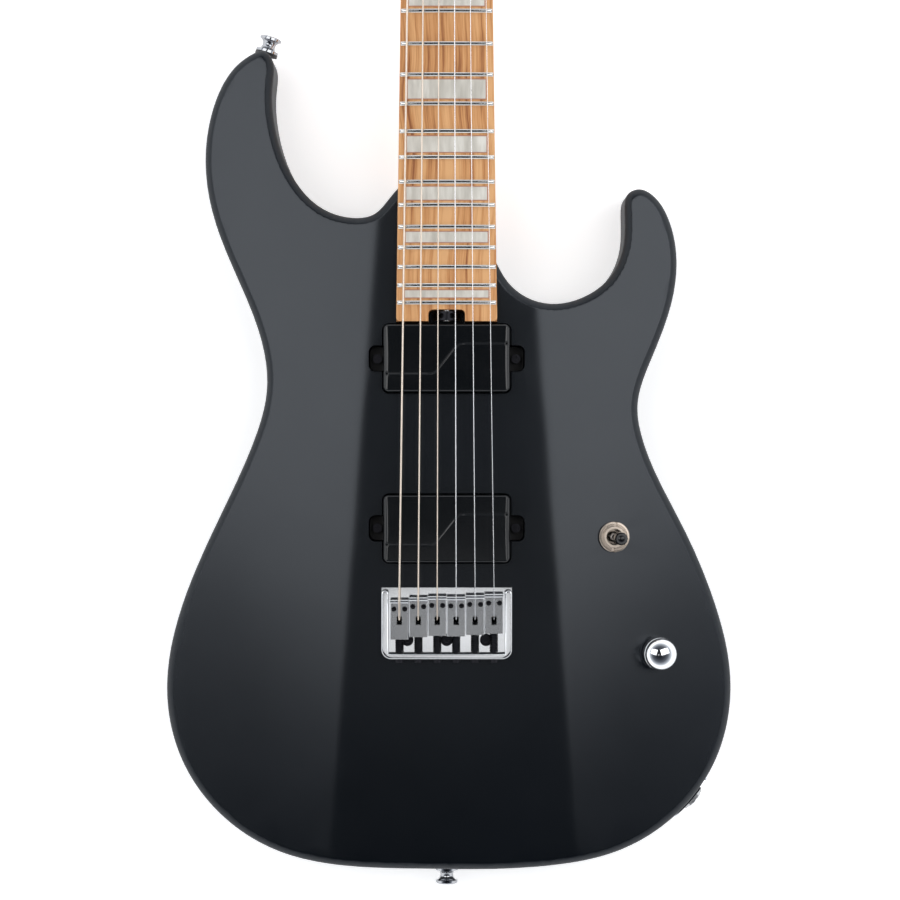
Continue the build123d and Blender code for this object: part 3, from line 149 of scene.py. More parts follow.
def satin_black_lacquer():
    """Sprayed satin lacquer: near black with a cool cast, a soft wide sheen, faint orange peel."""
    material, tree, shader, place = new_finish("satin_black_lacquer", "#05080C", 0.22, IOR=1.5,
                                               Specular_Tint=(0.86, 0.92, 1.0, 1.0))
    cloud = noise(tree, place, 9.0, 4.0)
    tint = ramp(tree, cloud, [(0.3, "#04070B"), (0.7, "#070B10")])
    tree.links.new(tint, shader.inputs["Base Color"])
    # buffing leaves the rounded edges duller than the flat top
    facing = add(tree, "ShaderNodeNewGeometry").outputs["Normal"]
    upright = add(tree, "ShaderNodeSeparateXYZ", Vector=facing).outputs["Z"]
    rounding = add(tree, "ShaderNodeMapRange", {"clamp": True}, i0=upright, i1=0.998, i2=0.95,
                   i3=0.0, i4=0.34).outputs["Result"]
    cloudy = add(tree, "ShaderNodeMapRange", i0=noise(tree, place, 34.0, 5.0), i1=0.0, i2=1.0,
                 i3=0.2, i4=0.24).outputs["Result"]
    gloss = maths(tree, "ADD", cloudy, rounding)
    tree.links.new(gloss, shader.inputs["Roughness"])
    # a shoulder line: beyond it the shading tips outward by a few degrees (no geometry moves)
    axes = add(tree, "ShaderNodeSeparateXYZ", Vector=place)
    off_centre = maths(tree, "SUBTRACT", axes.outputs["X"], SHOULDER_OFFSET)
    distance = maths(tree, "ABSOLUTE", off_centre)
    shoulder = maths(tree, "MULTIPLY_ADD", axes.outputs["Y"], SHOULDER_TAPER,
                     SHOULDER_HALF_WIDTH)
    beyond = maths(tree, "SUBTRACT", distance, shoulder)
    carve = maths(tree, "SMOOTH_MAX", beyond, 0.0, SHOULDER_SOFTNESS)
    fall = maths(tree, "MULTIPLY", carve, -SHOULDER_SLOPE)
    shaped = add(tree, "ShaderNodeBump", Height=fall, Strength=1.0, Distance=1.0)
    # orange peel about 1.2 mm across
    peel = add(tree, "ShaderNodeBump", Height=noise(tree, place, 800.0, 2.0), Strength=0.05,
               Distance=0.0001, Normal=shaped.outputs["Normal"])
    tree.links.new(peel.outputs["Normal"], shader.inputs["Normal"])
    return material


def roasted_maple(name, light, middle, dark, gloss):
    """Heat-treated maple: toasted tan with long brown streaks and fine pores along the grain."""
    material, tree, shader, place = new_finish(name, middle, gloss, IOR=1.45)
    # the grain wanders sideways by a few millimetres along the neck
    sway = noise(tree, stretched(tree, place, (4.0, 9.0, 4.0)), 1.0, 2.0)
    shift = add(tree, "ShaderNodeCombineXYZ", X=maths(tree, "MULTIPLY", sway, 0.02))
    bent = add(tree, "ShaderNodeVectorMath", {"operation": "ADD"}, i0=place,
               i1=shift.outputs["Vector"]).outputs["Vector"]
    # broad streaks about 6 mm wide and 150 mm long
    broad = noise(tree, stretched(tree, bent, (190.0, 6.5, 190.0)), 1.0, 6.0, 0.62)
    # narrow dark lines about 1.5 mm wide
    lines = noise(tree, stretched(tree, bent, (620.0, 9.0, 620.0)), 1.0, 4.0, 0.6)
    # pores about 0.6 mm wide and 15 mm long
    fine = noise(tree, stretched(tree, bent, (1400.0, 60.0, 1400.0)), 1.0, 3.0, 0.6)
    both = maths(tree, "MULTIPLY_ADD", lines, 0.55, maths(tree, "MULTIPLY_ADD", fine, 0.25, broad))
    centred = maths(tree, "SUBTRACT", both, 0.4)
    colour = ramp(tree, centred, [(0.3, dark), (0.44, middle), (0.62, light)])
    tree.links.new(colour, shader.inputs["Base Color"])
    vary(tree, shader.inputs["Roughness"], fine, gloss - 0.06, gloss + 0.1)
    bump(tree, shader, fine, 0.12, 0.00015)
    return material


def pearloid():
    """Cast pearl plastic: off-white clouds that drift into grey, under a clear gloss."""
    material, tree, shader, place = new_finish("pearloid_inlay", "#D8D6D2", 0.22, IOR=1.5,
                                               Coat_Weight=0.4, Coat_Roughness=0.08)
    # pearl bands about 4 mm wide that run along the neck, broken every 20 mm
    flow = noise(tree, stretched(tree, place, (230.0, 45.0, 230.0)), 1.0, 3.0, 0.5)
    colour = ramp(tree, flow, [(0.3, "#C6C1B6"), (0.5, "#D8D3C8"), (0.68, "#EAE6DC")])
    tree.links.new(colour, shader.inputs["Base Color"])
    return material


def plated(name, colour, gloss, spread=0.03, scale=40.0):
    """Plated or bright metal: mirror reflections with faint polishing haze."""
    material, tree, shader, place = new_finish(name, colour, gloss, 1.0)
    vary(tree, shader.inputs["Roughness"], noise(tree, place, scale, 4.0),
         max(gloss - spread, 0.02), gloss + spread)
    bump(tree, shader, noise(tree, place, 900.0, 2.0), 0.02, 0.00005)
    return material


def turned_metal(name, colour, gloss):
    """Lathe-turned or drawn metal: fine lines that break the reflection."""
    material, tree, shader, place = new_finish(name, colour, gloss, 1.0)
    lines = noise(tree, stretched(tree, place, (300.0, 300.0, 4000.0)), 1.0, 2.0)
    vary(tree, shader.inputs["Roughness"], lines, gloss - 0.05, gloss + 0.12)
    bump(tree, shader, lines, 0.08, 0.00005)
    return material


def moulded(name, colour, gloss, grain=1400.0, depth=0.08):
    """Injection-moulded plastic: even colour with a fine matt grain."""
    material, tree, shader, place = new_finish(name, colour, gloss, IOR=1.5)
    texture = noise(tree, place, grain, 2.0)
    vary(tree, shader.inputs["Roughness"], noise(tree, place, 60.0, 3.0),
         gloss - 0.03, gloss + 0.05)
    bump(tree, shader, texture, depth, 0.0001)
    return material


def wool_felt():
    """Pressed wool felt: dull black with matted fibres about 0.3 mm across."""
    material, tree, shader, place = new_finish("pressed_wool_felt", "#101012", 0.95,
                                               Sheen_Weight=0.5, Sheen_Roughness=0.5)
    fibres = noise(tree, place, 2600.0, 5.0, 0.75)
    colour = ramp(tree, fibres, [(0.35, "#08080A"), (0.65, "#1E1E21")])
    tree.links.new(colour, shader.inputs["Base Color"])
    bump(tree, shader, fibres, 0.9, 0.0004)
    return material


def wound_string():
    """Nickel-plated wrap over a steel core: warm silver."""
    material, tree, shader, place = new_finish("nickel_wound_string", "#D9CCBE", 0.3, 1.0)
    vary(tree, shader.inputs["Roughness"], noise(tree, place, 500.0, 3.0), 0.24, 0.42)
    return material


lacquer = satin_black_lacquer()
board_wood = roasted_maple("roasted_maple_board", "#E5AF78", "#CD9059", "#94582F", 0.5)
neck_wood = roasted_maple("roasted_maple_neck", "#DDA56D", "#C3854D", "#8E562C", 0.42)
pearl = pearloid()
inlay_glue = moulded("inlay_edge_resin", "#B57F68", 0.5)
chrome = plated("polished_chrome", "#DDDFE2", 0.09)
button_chrome = plated("strap_button_chrome", "#A6A8AC", 0.07)
satin_chrome = plated("satin_chrome_saddle", "#C9CBCE", 0.2, 0.05)
satin_nickel = plated("satin_nickel_nut", "#ADA297", 0.22, 0.05)
nickel_silver = plated("nickel_silver_fret", "#D9D8D4", 0.14, 0.03)
blackened = plated("blackened_steel", "#2A2A2E", 0.35, 0.05)
bright_steel = turned_metal("turned_steel", "#BFC0C2", 0.25)
spring_wire = plated("spring_steel_wire", "#1E1F22", 0.3, 0.05)
plain_wire = plated("plain_steel_string", "#DCDDE0", 0.22, 0.04)
wound_wire = wound_string()
brass = turned_metal("turned_brass", "#C9A25E", 0.28)
cover_gloss = moulded("gloss_abs_pickup", "#090C0F", 0.14, 900.0, 0.02)
matt_black = moulded("matt_abs_black", "#141416", 0.6, 1500.0, 0.25)
tip_gloss = moulded("gloss_black_tip", "#08080A", 0.14, 900.0, 0.02)
nut_black = moulded("graphite_nut", "#17171A", 0.45, 1600.0, 0.1)
cream_plastic = moulded("cream_nylon", "#D8D2BE", 0.5)
felt = wool_felt()
battery_tin = plated("battery_steel_wrap", "#4A4C52", 0.4, 0.06)

FINISHES = {
    "body": lacquer, "neck": neck_wood, "fretboard": board_wood, "inlays": pearl,
    "nut": nut_black, "truss_rod": bright_steel, "truss_wheel": blackened,
    "neck_ferrules": chrome, "neck_screws": chrome, "bridge_plate": chrome,
    "bridge_screws": blackened, "intonation_screws": blackened, "string_ferrules": chrome,
    "neck_pickup_core": matt_black, "bridge_pickup_core": matt_black,
    "pickup_screws": blackened, "switch_body": satin_nickel, "switch_lever": chrome,
    "switch_tip": tip_gloss, "pot_case": bright_steel,
    "pull_slider": cream_plastic, "volume_shaft": brass, "output_jack": bright_steel,
    "jack_plate": chrome, "cover_screws": blackened, "strap_buttons": button_chrome,
    "strap_felts": felt, "control_cover": matt_black, "battery_box": matt_black,
    "battery_lid": matt_black, "battery": battery_tin, "wiring": matt_black,
    "tuner_housings": chrome, "tuner_bushings": chrome, "string_tree": chrome,
}
for number in range(1, STRING_COUNT + 1):
    FINISHES[f"tuner_post_{number}"] = chrome
    FINISHES[f"tuner_key_{number}"] = chrome


# ---------------------------------------------------------------- pieces
def settle(piece, material, body, node, sharp=35.0):
    """Gives a piece its finish, its smooth shading and its body, and hides the CAD node it stands for."""
    piece.data.materials.append(material)
    piece.data.shade_smooth()
    piece.data.set_sharp_from_angle(angle=math.radians(sharp))
    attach(piece, body)
    if node:
        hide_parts(node)
    return piece


def new_piece(name, points, faces):
    mesh = bpy.data.meshes.new(name)
    mesh.from_pydata(points.tolist(), [], [tuple(face) for face in faces])
    mesh.validate()
    piece = bpy.data.objects.new(name, mesh)
    bpy.context.scene.collection.objects.link(piece)
    return piece


def grid_faces(rows, columns, wrap=False):
    """Quads over a grid of points; wrap joins the last column to the first."""
    last = columns if wrap else columns - 1
    row, column = np.meshgrid(np.arange(rows - 1), np.arange(last), indexing="ij")
    following = (column + 1) % columns
    quads = np.stack([row * columns + column, row * columns + following,
                      (row + 1) * columns + following, (row + 1) * columns + column], axis=-1)
    return quads.reshape(-1, 4)


def weld(node, name, material, choose=None):
    """A CAD node's shape with its loose triangles joined, so that its curves shade smoothly.
    Normals are weighted by face area, which keeps flat faces flat beside their rounded edges.
    choose, given the triangles' middles, says which of them to keep."""
    source = NODES[node].data
    points = np.zeros(len(source.vertices) * 3)
    source.vertices.foreach_get("co", points)
    corners = np.zeros(len(source.loops), dtype=np.int64)
    source.loops.foreach_get("vertex_index", corners)
    points = points.reshape(-1, 3)
    _, first, inverse = np.unique(np.round(points, 6), axis=0, return_index=True,
                                  return_inverse=True)
    triangles = inverse.reshape(-1)[corners].reshape(-1, 3)
    keep = (triangles[:, 0] != triangles[:, 1]) & (triangles[:, 1] != triangles[:, 2]) \
        & (triangles[:, 2] != triangles[:, 0])
    if choose:
        keep &= choose(points[first][triangles].mean(axis=1))
    used, renumbered = np.unique(triangles[keep], return_inverse=True)
    piece = new_piece(name, points[first][used], renumbered.reshape(-1, 3))
    settle(piece, material, BODY_OF[node], node)
    even = piece.modifiers.new("even_shading", "WEIGHTED_NORMAL")
    even.keep_sharp = True
    return piece


def turned(name, profile, centre, axis, steps, ripple=None):
    """A profile of (radius, height) turned about an axis; ripple(angle, height) scales radii."""
    profile = np.array(profile)
    axis = np.array(axis) / np.linalg.norm(axis)
    side = np.cross(axis, (0.0, 1.0, 0.0))
    side /= np.linalg.norm(side)
    other = np.cross(axis, side)
    angle = np.linspace(0, 2 * np.pi, steps, endpoint=False)
    radius = np.repeat(profile[:, :1], steps, axis=1)
    height = np.repeat(profile[:, 1:], steps, axis=1)
    if ripple:
        radius = radius * ripple(angle[None, :], height)
    points = (np.array(centre) + radius[..., None] * (np.cos(angle)[None, :, None] * side
              + np.sin(angle)[None, :, None] * other) + height[..., None] * axis)
    faces = [list(face) for face in grid_faces(len(profile), steps, wrap=True)]
    faces.append(list(range(steps))[::-1])
    faces.append([(len(profile) - 1) * steps + k for k in range(steps)])
    return new_piece(name, points.reshape(-1, 3), faces)


def tube(path, radii, around):
    """Points and quads of a round tube along a path, its frame carried with no twist."""
    path = np.array(path)
    along = np.gradient(path, axis=0)
    along /= np.linalg.norm(along, axis=1)[:, None]
    side = np.cross(along, (1.0, 0.0, 0.0))
    side /= np.linalg.norm(side, axis=1)[:, None]
    other = np.cross(along, side)
    angle = np.linspace(0, 2 * np.pi, around, endpoint=False)
    ring = (np.cos(angle)[None, :, None] * side[:, None, :]
            + np.sin(angle)[None, :, None] * other[:, None, :])
    radii = np.broadcast_to(np.asarray(radii), (len(path), around))
    points = path[:, None, :] + ring * radii[..., None]
    return points.reshape(-1, 3), grid_faces(len(path), around, wrap=True)


def capped(faces, rows, around):
    faces = [list(face) for face in faces]
    return faces + [list(range(around))[::-1], [(rows - 1) * around + k for k in range(around)]]


# ---- the board's own geometry, read from the frame
board_low, board_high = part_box("fretboard")
nut_low, nut_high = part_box("nut")
scale_length = nut_low.y
crown_radius = 0.406
half_at_nut = (nut_high.x - nut_low.x) / 2
half_at_end = board_high.x


def half_width(y):
    """The board's half width, even from its end to the nut."""
    share = (y - board_low.y) / (scale_length - board_low.y)
    return half_at_end + (half_at_nut - half_at_end) * share


def crown_z(x):
    """Height of the board's crowned face."""
    return board_high.z - crown_radius + np.sqrt(crown_radius ** 2 - np.asarray(x) ** 2)


def make_frets():
    """Each fret: a rounded bead carried across the crowned board, its ends bevelled."""
    across, around = 33, 13
    bead, rise = 2.5 * MM, 1.2 * MM
    angle = np.linspace(0, np.pi, around)
    points, faces = [], []
    for number in range(1, FRET_COUNT + 1):
        y = scale_length * 2.0 ** (-number / 12)
        half = half_width(y) - 0.4 * MM
        share = np.linspace(-1, 1, across)
        x = share * half
        # the bead shrinks over its last millimetre
        end = np.clip((half - np.abs(x)) / (1.0 * MM), 0, 1)
        swell = 0.35 + 0.65 * np.sqrt(1 - (1 - end) ** 2)
        profile_y = np.cos(angle)[None, :] * bead / 2 * np.ones((across, 1))
        profile_z = np.sin(angle)[None, :] ** 0.8 * rise * swell[:, None]
        ring = np.stack([np.repeat(x[:, None], around, axis=1), y + profile_y,
                         crown_z(x)[:, None] + profile_z - 0.05 * MM], axis=-1)
        offset = sum(len(p) for p in points)
        points.append(ring.reshape(-1, 3))
        quads = grid_faces(across, around, wrap=True)
        faces += [[index + offset for index in face] for face in capped(quads, across, around)]
    piece = new_piece("fret_beads", np.concatenate(points), faces)
    return settle(piece, nickel_silver, "root", "frets", 50.0)


def make_inlay_edges():
    """A hairline of resin round each pearl block, following the crown."""
    gap, inset, line, lift = 2.8 * MM, 4.6 * MM, 0.5 * MM, 0.06 * MM
    across = 25
    points, faces = [], []
    for number in INLAY_FRETS:
        near = scale_length * 2.0 ** (-number / 12) + gap
        far = scale_length * 2.0 ** (-(number - 1) / 12) - gap
        half = half_width((near + far) / 2) - inset
        x = np.linspace(-half, half, across)
        loop_x = np.concatenate([x, x[::-1]])
        loop_y = np.concatenate([np.full(across, near), np.full(across, far)])
        out_x = loop_x + np.where(np.abs(loop_x) > half - 1e-9, np.sign(loop_x) * line, 0)
        out_y = loop_y + np.concatenate([np.full(across, -line), np.full(across, line)])
        rings = [(loop_x, loop_y, -lift), (loop_x, loop_y, lift),
                 (out_x, out_y, lift), (out_x, out_y, -lift)]
        ring = np.stack([np.stack([a, b, crown_z(a) + c], axis=-1) for a, b, c in rings])
        offset = sum(len(p) for p in points)
        points.append(ring.reshape(-1, 3))
        count = 2 * across
        for low in range(4):
            high = (low + 1) % 4
            for k in range(count):
                after = (k + 1) % count
                faces.append([offset + low * count + k, offset + high * count + k,
                              offset + high * count + after, offset + low * count + after])
    piece = new_piece("inlay_edge_lines", np.concatenate(points), faces)
    settle(piece, inlay_glue, "root", None)
    return piece


def rounded_drop(distance, radius):
    """How far a rounded edge has fallen, at a distance in from the side."""
    inside = np.clip(distance / radius, 0, 1)
    return radius * (1 - np.sqrt(np.clip(1 - (1 - inside) ** 2, 0, 1)))


def crowded(count, share):
    """Parameters from -1 to 1 that crowd towards both ends, by the given share of a sine."""
    even = np.linspace(-1, 1, count)
    return np.sin(even * np.pi / 2) * share + even * (1 - share)


def make_pickup_shell(name, node, body):
    """A cover as one surface: a rounded rectangle of rings. Each ring's height falls with a wide
    round at the short ends and a tight one at the long sides. An S-shaped line is pressed in."""
    low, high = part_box(node)
    centre_x, centre_y = (low.x + high.x) / 2, (low.y + high.y) / 2
    half_x, half_y = (high.x - low.x) / 2, (high.y - low.y) / 2
    columns, rows = 281, 161
    # parameters crowd towards the edges so that the rounds are fine
    u, v = crowded(columns, 0.5), crowded(rows, 0.4)
    grid_u, grid_v = np.meshgrid(u, v)
    corner = 3.0 * MM
    # the plan's corners are drawn in on quarter circles
    x = grid_u * half_x
    over_x = np.clip(np.abs(x) - (half_x - corner), 0, corner)
    limit_y = half_y - corner + np.sqrt(np.clip(corner ** 2 - over_x ** 2, 0, None))
    y = grid_v * limit_y
    to_end = half_x - np.abs(x)
    to_side = limit_y - np.abs(y)
    # the long sides bow in by a fraction towards the middle of each end
    end_round = (2.3 + 0.5 * (1 - (y / half_y) ** 2)) * MM
    z = high.z - rounded_drop(to_end, end_round) - rounded_drop(to_side, 1.3 * MM)
    # the pressed line: level, a slope across the middle, level again
    knots_x = np.array([-60.0, -33.0, -8.5, -6.0, 4.2, 7.0, 11.0, 33.0, 60.0]) * MM
    knots_y = np.array([-8.7, -8.7, -8.7, -7.4, 5.6, 7.6, 8.0, 8.0, 8.0]) * MM
    line_y = np.interp(x, knots_x, knots_y)
    slope = np.interp(x, (knots_x[1:] + knots_x[:-1]) / 2, np.diff(knots_y) / np.diff(knots_x))
    away = np.abs(y - line_y) / np.sqrt(1 + slope ** 2)
    z = z - 0.35 * MM * np.exp(-(away / (0.28 * MM)) ** 2) * (np.abs(x) < half_x - 1.5 * MM)
    # a small pit where the line meets each end
    for pit_x, pit_y in ((-half_x + 1.9 * MM, -8.7 * MM), (half_x - 1.9 * MM, 8.0 * MM)):
        z = z - 0.9 * MM * np.exp(-((x - pit_x) ** 2 + (y - pit_y) ** 2) / (0.6 * MM) ** 2)
    top = np.stack([centre_x + x, centre_y + y, z], axis=-1).reshape(-1, 3)
    faces = [list(face) for face in grid_faces(rows, columns)]
    rim = ([k for k in range(columns)]
           + [r * columns + columns - 1 for r in range(1, rows)]
           + [(rows - 1) * columns + k for k in range(columns - 2, -1, -1)]
           + [r * columns for r in range(rows - 2, 0, -1)])
    skirt = top[rim].copy()
    skirt[:, 2] = low.z
    start = len(top)
    count = len(rim)
    faces += [[rim[k], start + k, start + (k + 1) % count, rim[(k + 1) % count]]
              for k in range(count)]
    faces.append([start + k for k in range(count)][::-1])
    piece = new_piece(name, np.concatenate([top, skirt]), faces)
    return settle(piece, cover_gloss, body, node, 60.0)


def make_knob():
    """A chrome dome over a knurled skirt: the profile is turned about the tilted shaft and the
    skirt's radius ripples round it."""
    joint = next(j for j in frame["joints"] if j["name"] == "volume_rotation")
    centre, axis = np.array(joint["pos_m"]), np.array(joint["axis"])
    radius, foot, shoulder, crown = 9.0 * MM, 1.0 * MM, 12.0 * MM, 17.45 * MM
    dome = [(radius * math.cos(t), shoulder + (crown - shoulder) * math.sin(t))
            for t in np.linspace(0.08, math.pi / 2 - 0.06, 22)]
    profile = ([(radius - 3.5 * MM, foot + 0.3 * MM), (radius - 1.0 * MM, foot),
                (radius - 0.35 * MM, foot + 0.25 * MM), (radius, foot + 0.8 * MM)]
               + [(radius, foot + 0.8 * MM + k * 0.001) for k in range(1, 9)]
               + [(radius, 10.4 * MM), (radius - 0.45 * MM, 10.8 * MM),
                  (radius - 0.45 * MM, 11.4 * MM), (radius, 11.9 * MM)] + dome)

    def knurl(angle, height):
        band = np.clip((height - 1.9 * MM) / (0.5 * MM), 0, 1) \
            * np.clip((10.2 * MM - height) / (0.5 * MM), 0, 1)
        ridge = np.abs(np.sin(angle * 30))
        return 1 - 0.035 * band * (1 - ridge) ** 0.7

    piece = turned("volume_knob_dome", profile, centre, axis, 360, knurl)
    return settle(piece, chrome, "volume_turn", "volume_knob", 40.0)


def make_spring(number):
    """A coil of round wire over the screw, from the rear wall to its saddle."""
    saddle_low, saddle_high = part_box(f"saddle_{number}")
    springs_low, springs_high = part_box("intonation_springs")
    x = (saddle_low.x + saddle_high.x) / 2
    z = (springs_low.z + springs_high.z) / 2
    wall, front = springs_low.y, saddle_low.y
    wire = 0.34 * MM
    coil = 2.4 * MM - wire
    turns = 8
    share = np.linspace(0, 1, turns * 20 + 1)
    angle = share * turns * 2 * np.pi
    path = np.stack([x + coil * np.cos(angle), wall + wire + share * (front - wall - 2 * wire),
                     z + coil * np.sin(angle)], axis=-1)
    along = np.gradient(path, axis=0)
    along /= np.linalg.norm(along, axis=1)[:, None]
    outward = np.stack([np.cos(angle), np.zeros_like(angle), np.sin(angle)], axis=-1)
    binormal = np.cross(along, outward)
    turn = np.linspace(0, 2 * np.pi, 8, endpoint=False)
    points = path[:, None, :] + wire * (np.cos(turn)[None, :, None] * outward[:, None, :]
                                        + np.sin(turn)[None, :, None] * binormal[:, None, :])
    faces = capped(grid_faces(len(path), 8, wrap=True), len(path), 8)
    piece = new_piece(f"coil_spring_{number}", points.reshape(-1, 3), faces)
    settle(piece, spring_wire, "root", "intonation_springs", 60.0)
    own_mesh(piece)
    return piece


def smooth_route(corners, radii, step):
    """Straight runs joined by short curves: each corner is rounded by a quadratic curve that
    starts and ends at a given distance from it."""
    corners = [np.array(c) for c in corners]
    pieces = [corners[0][None, :]]
    for before, corner, after, cut in zip(corners, corners[1:], corners[2:], radii):
        into = (corner - before) / np.linalg.norm(corner - before)
        out = (after - corner) / np.linalg.norm(after - corner)
        start, end = corner - into * cut, corner + out * cut
        share = np.linspace(0, 1, 9)[:, None]
        pieces.append((1 - share) ** 2 * start + 2 * share * (1 - share) * corner
                      + share ** 2 * end)
    pieces.append(corners[-1][None, :])
    rough = np.concatenate(pieces)
    lengths = np.concatenate([[0], np.cumsum(np.linalg.norm(np.diff(rough, axis=0), axis=1))])
    places = np.unique(np.concatenate([np.arange(0, lengths[-1], step), lengths]))
    return np.stack([np.interp(places, lengths, rough[:, k]) for k in range(3)], axis=-1), places


def make_strings():
    """Six strings from the back of the body over saddle and nut to the posts. The three low ones
    carry a wrap: their radius swells once each turn, and the swell winds round them."""
    radii = [0.58, 0.46, 0.33, 0.25, 0.20, 0.16]
    wraps = [1.1, 1.0, 0.9]
    rise = [7.4, 7.0, 6.6, 6.2, 5.4, 5.0]
    nut_edge, crown = 17.5 * MM, 406.0 * MM
    ferrule_low, ferrule_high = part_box("string_ferrules")
    head_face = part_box("neck")[1].z - 1.5 * MM
    tree_low, tree_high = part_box("string_tree")
    for index in range(STRING_COUNT):
        radius = radii[index] * MM
        low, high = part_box(f"saddle_{index + 1}")
        post_low, post_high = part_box(f"tuner_post_{index + 1}")
        x = (low.x + high.x) / 2
        crest_z = high.z + radius + 0.05 * MM
        hole_y = (ferrule_low.y + ferrule_high.y) / 2
        nut_x = -nut_edge + 7.0 * MM * index
        nut_z = 55.5 * MM + (nut_edge ** 2 - nut_x ** 2) / (2 * crown)
        post_x, post_y = (post_low.x + post_high.x) / 2, (post_low.y + post_high.y) / 2
        corners = [(x, hole_y, 5.7 * MM), (x, hole_y, crest_z - 2.4 * MM),
                   (x, high.y - 1.0 * MM, crest_z), (nut_x, scale_length + 2.5 * MM, nut_z)]
        cuts = [2.2 * MM, 0.6 * MM, 0.6 * MM]
        if index >= 4:
            tree_y = (tree_low.y + tree_high.y) / 2
            tree_x = nut_x + (nut_x - x) * (tree_y - scale_length) / scale_length
            corners.append((tree_x, tree_y, 51.6 * MM))
            cuts.append(0.8 * MM)
        corners.append((post_x, post_y, head_face + rise[index] * MM))
        if index < 3:
            wrap = wraps[index] * MM
            path, places = smooth_route(corners, cuts, wrap / 4)
            around = 8
            angle = np.linspace(0, 2 * np.pi, around, endpoint=False)
            phase = 2 * np.pi * places[:, None] / wrap + angle[None, :]
            swell = radius * (1 - 0.11 * (1 - np.abs(np.cos(phase / 2))))
            points, faces = tube(path, swell, around)
            name, material = f"wound_string_{index + 1}", wound_wire
        else:
            path, places = smooth_route(corners, cuts, 12.0 * MM)
            around = 12
            points, faces = tube(path, radius, around)
            name, material = f"plain_string_{index + 1}", plain_wire
        piece = new_piece(name, points, capped(faces, len(path), around))
        settle(piece, material, "root", "strings", 70.0)
        ball = turned(f"ball_end_{index + 1}",
                      [(0.7 * MM, 0.0), (1.5 * MM, 0.0), (1.9 * MM, 0.5 * MM),
                       (1.5 * MM, 1.2 * MM),
                       (1.3 * MM, 1.9 * MM), (1.5 * MM, 2.6 * MM), (1.9 * MM, 3.3 * MM),
                       (1.5 * MM, 3.8 * MM), (0.7 * MM, 3.8 * MM)],
                      (x, hole_y, 1.9 * MM), (0, 0, 1), 28)
        settle(ball, brass, "root", "strings", 40.0)


def make_saddle(number):
    """The block, and its two height screws with the bores they stand in as a darker piece. The screws are
    blackened steel; the dark bore walls round them are painted shade.
    """
    node = f"saddle_{number}"
    low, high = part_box(node)
    middle, screw_y = (low.x + high.x) / 2, high.y - 5.4 * MM

    def in_bore(places):
        from_axis = np.hypot(np.abs(places[:, 0] - middle) - 3.0 * MM, places[:, 1] - screw_y)
        return from_axis < 1.47 * MM

    weld(node, f"saddle_block_{number}", satin_chrome, lambda places: ~in_bore(places))
    # the bore walls take the screws' dark finish as painted shade; the screws themselves are blackened steel
    weld(node, f"height_screws_{number}", blackened, in_bore)


def make_panel_nuts():
    """The switch's dress nut, turned in rings with two key slots pressed in, and the hexagon
    nut under the knob."""
    joint = next(j for j in frame["joints"] if j["name"] == "switch_throw")
    pivot, slope = np.array(joint["pos_m"]), math.asin(SWITCH_TILT)
    axis = np.array([math.sin(slope), 0.0, math.cos(slope)])
    face = pivot + axis * 3.0 * MM
    outline = [(5.92, 0.02), (8.6, 0.02), (8.6, 1.7), (8.45, 2.2), (8.1, 2.55), (7.7, 2.6),
               (7.3, 2.6),
               (7.05, 2.3), (6.75, 2.3), (6.55, 2.55), (6.2, 2.6), (5.92, 2.5), (5.92, 0.02)]
    profile = np.array(outline)
    steps = 240
    angle = np.linspace(0, 2 * np.pi, steps, endpoint=False)
    radius = np.repeat(profile[:, :1], steps, axis=1)
    height = np.repeat(profile[:, 1:], steps, axis=1)
    toward = np.abs(np.sin(angle - math.radians(SWITCH_SLOT_TURN))) * radius
    aside = np.abs(np.cos(angle - math.radians(SWITCH_SLOT_TURN))) * radius
    slot = (aside < 0.7) & (toward > 6.0) & (radius < 8.2) & (height > 0.8)
    height = np.where(slot, 0.8, height)
    side = np.cross((0.0, 1.0, 0.0), axis)
    other = np.cross(axis, side)
    points = face + (radius[..., None] * (np.cos(angle)[None, :, None] * side
                     + np.sin(angle)[None, :, None] * other) + height[..., None] * axis) * MM
    nut = new_piece("switch_dress_nut", points.reshape(-1, 3),
                    grid_faces(len(profile), steps, wrap=True))
    settle(nut, satin_nickel, "root", "panel_nuts", 28.0)
    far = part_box("switch_tip")[0].y
    weld("panel_nuts", "volume_hexagon_nut", chrome, lambda places: places[:, 1] < far - 0.03)


make_frets()
make_inlay_edges()
make_pickup_shell("neck_pickup_shell", "neck_pickup_cover", "neck_pickup")
make_pickup_shell("bridge_pickup_shell", "bridge_pickup_cover", "bridge_pickup")
make_knob()
for number in range(1, STRING_COUNT + 1):
    make_spring(number)
make_strings()
for number in range(1, STRING_COUNT + 1):
    make_saddle(number)
make_panel_nuts()
for node, material in FINISHES.items():
    weld(node, f"{node}_piece", material)


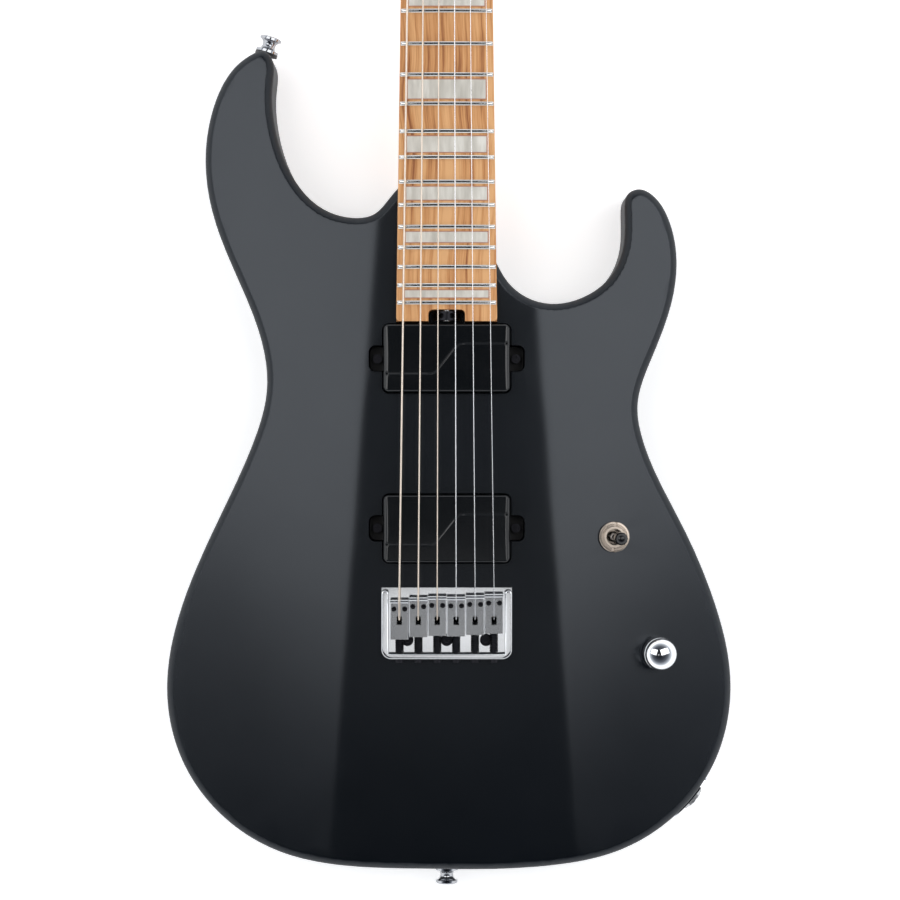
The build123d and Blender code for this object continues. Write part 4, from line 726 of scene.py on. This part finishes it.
# ---------------------------------------------------------------- stage, light and camera
def make_floor():
    points = np.array([(-4, -4, 0), (4, -4, 0), (4, 4, 0), (-4, 4, 0)], float)
    floor = new_piece("studio_floor", points - (0, 0, 0.0004), [(0, 1, 2, 3)])
    material, tree, shader, place = new_finish("studio_floor_paper", "#F7F7F7", 0.9,
                                               Emission_Color=(1, 1, 1, 1),
                                               Emission_Strength=0.5)
    floor.data.materials.append(material)


def softbox(name, place, aim, size, power):
    """A rectangular light aimed at a point."""
    data = bpy.data.lights.new(name, "AREA")
    data.shape = "RECTANGLE"
    data.size, data.size_y = size
    data.energy = power
    lamp = bpy.data.objects.new(name, data)
    bpy.context.scene.collection.objects.link(lamp)
    lamp.location = place
    direction = Vector(aim) - Vector(place)
    lamp.rotation_euler = direction.to_track_quat("-Z", "Y").to_euler()
    return lamp


def make_world():
    """A bright studio whose ceiling is dark straight above, so that flat black stays deep."""
    world = bpy.data.worlds.new("studio")
    bpy.context.scene.world = world
    world.use_nodes = True
    tree = world.node_tree
    background = tree.nodes["Background"]
    direction = add(tree, "ShaderNodeTexCoord").outputs["Generated"]
    height = add(tree, "ShaderNodeSeparateXYZ", Vector=direction).outputs["Z"]
    sky = ramp(tree, height, [(0.0, "#FFFFFF"), (0.45, "#F6F8FB"), (0.6, "#A4A8AE"),
                              (0.78, "#565A61"), (0.92, "#2A2D33"), (1.0, "#121418")])
    tree.links.new(sky, background.inputs["Color"])
    background.inputs["Strength"].default_value = 1.6


make_floor()
make_world()
side_x, side_y, light_height, side_size = 1.02, 0.42, 2.0, (1.0, 1.5)
bass_watts, treble_watts, overhead_watts = 12.0, 12.4, 0.09
bridge_y, overhead_size = -0.145, (0.21, 0.12)
softbox("bass_side_softbox", (-side_x, side_y, light_height), (-0.1, 0.15, 0.0), side_size,
        bass_watts)
softbox("treble_side_softbox", (side_x, side_y, light_height), (0.1, 0.15, 0.0), side_size,
        treble_watts)
softbox("overhead_panel", (0.0, bridge_y, light_height), (0.0, bridge_y, 0.0), overhead_size,
        overhead_watts)

camera_data = bpy.data.cameras.new("front_camera")
camera_data.sensor_width = 36.0
camera_data.lens = 108.24
camera = bpy.data.objects.new("front_camera", camera_data)
bpy.context.scene.collection.objects.link(camera)
camera.location = (0.00183, 0.0801, 1.5547)
bpy.context.scene.camera = camera
bpy.context.scene.view_settings.view_transform = "Standard"
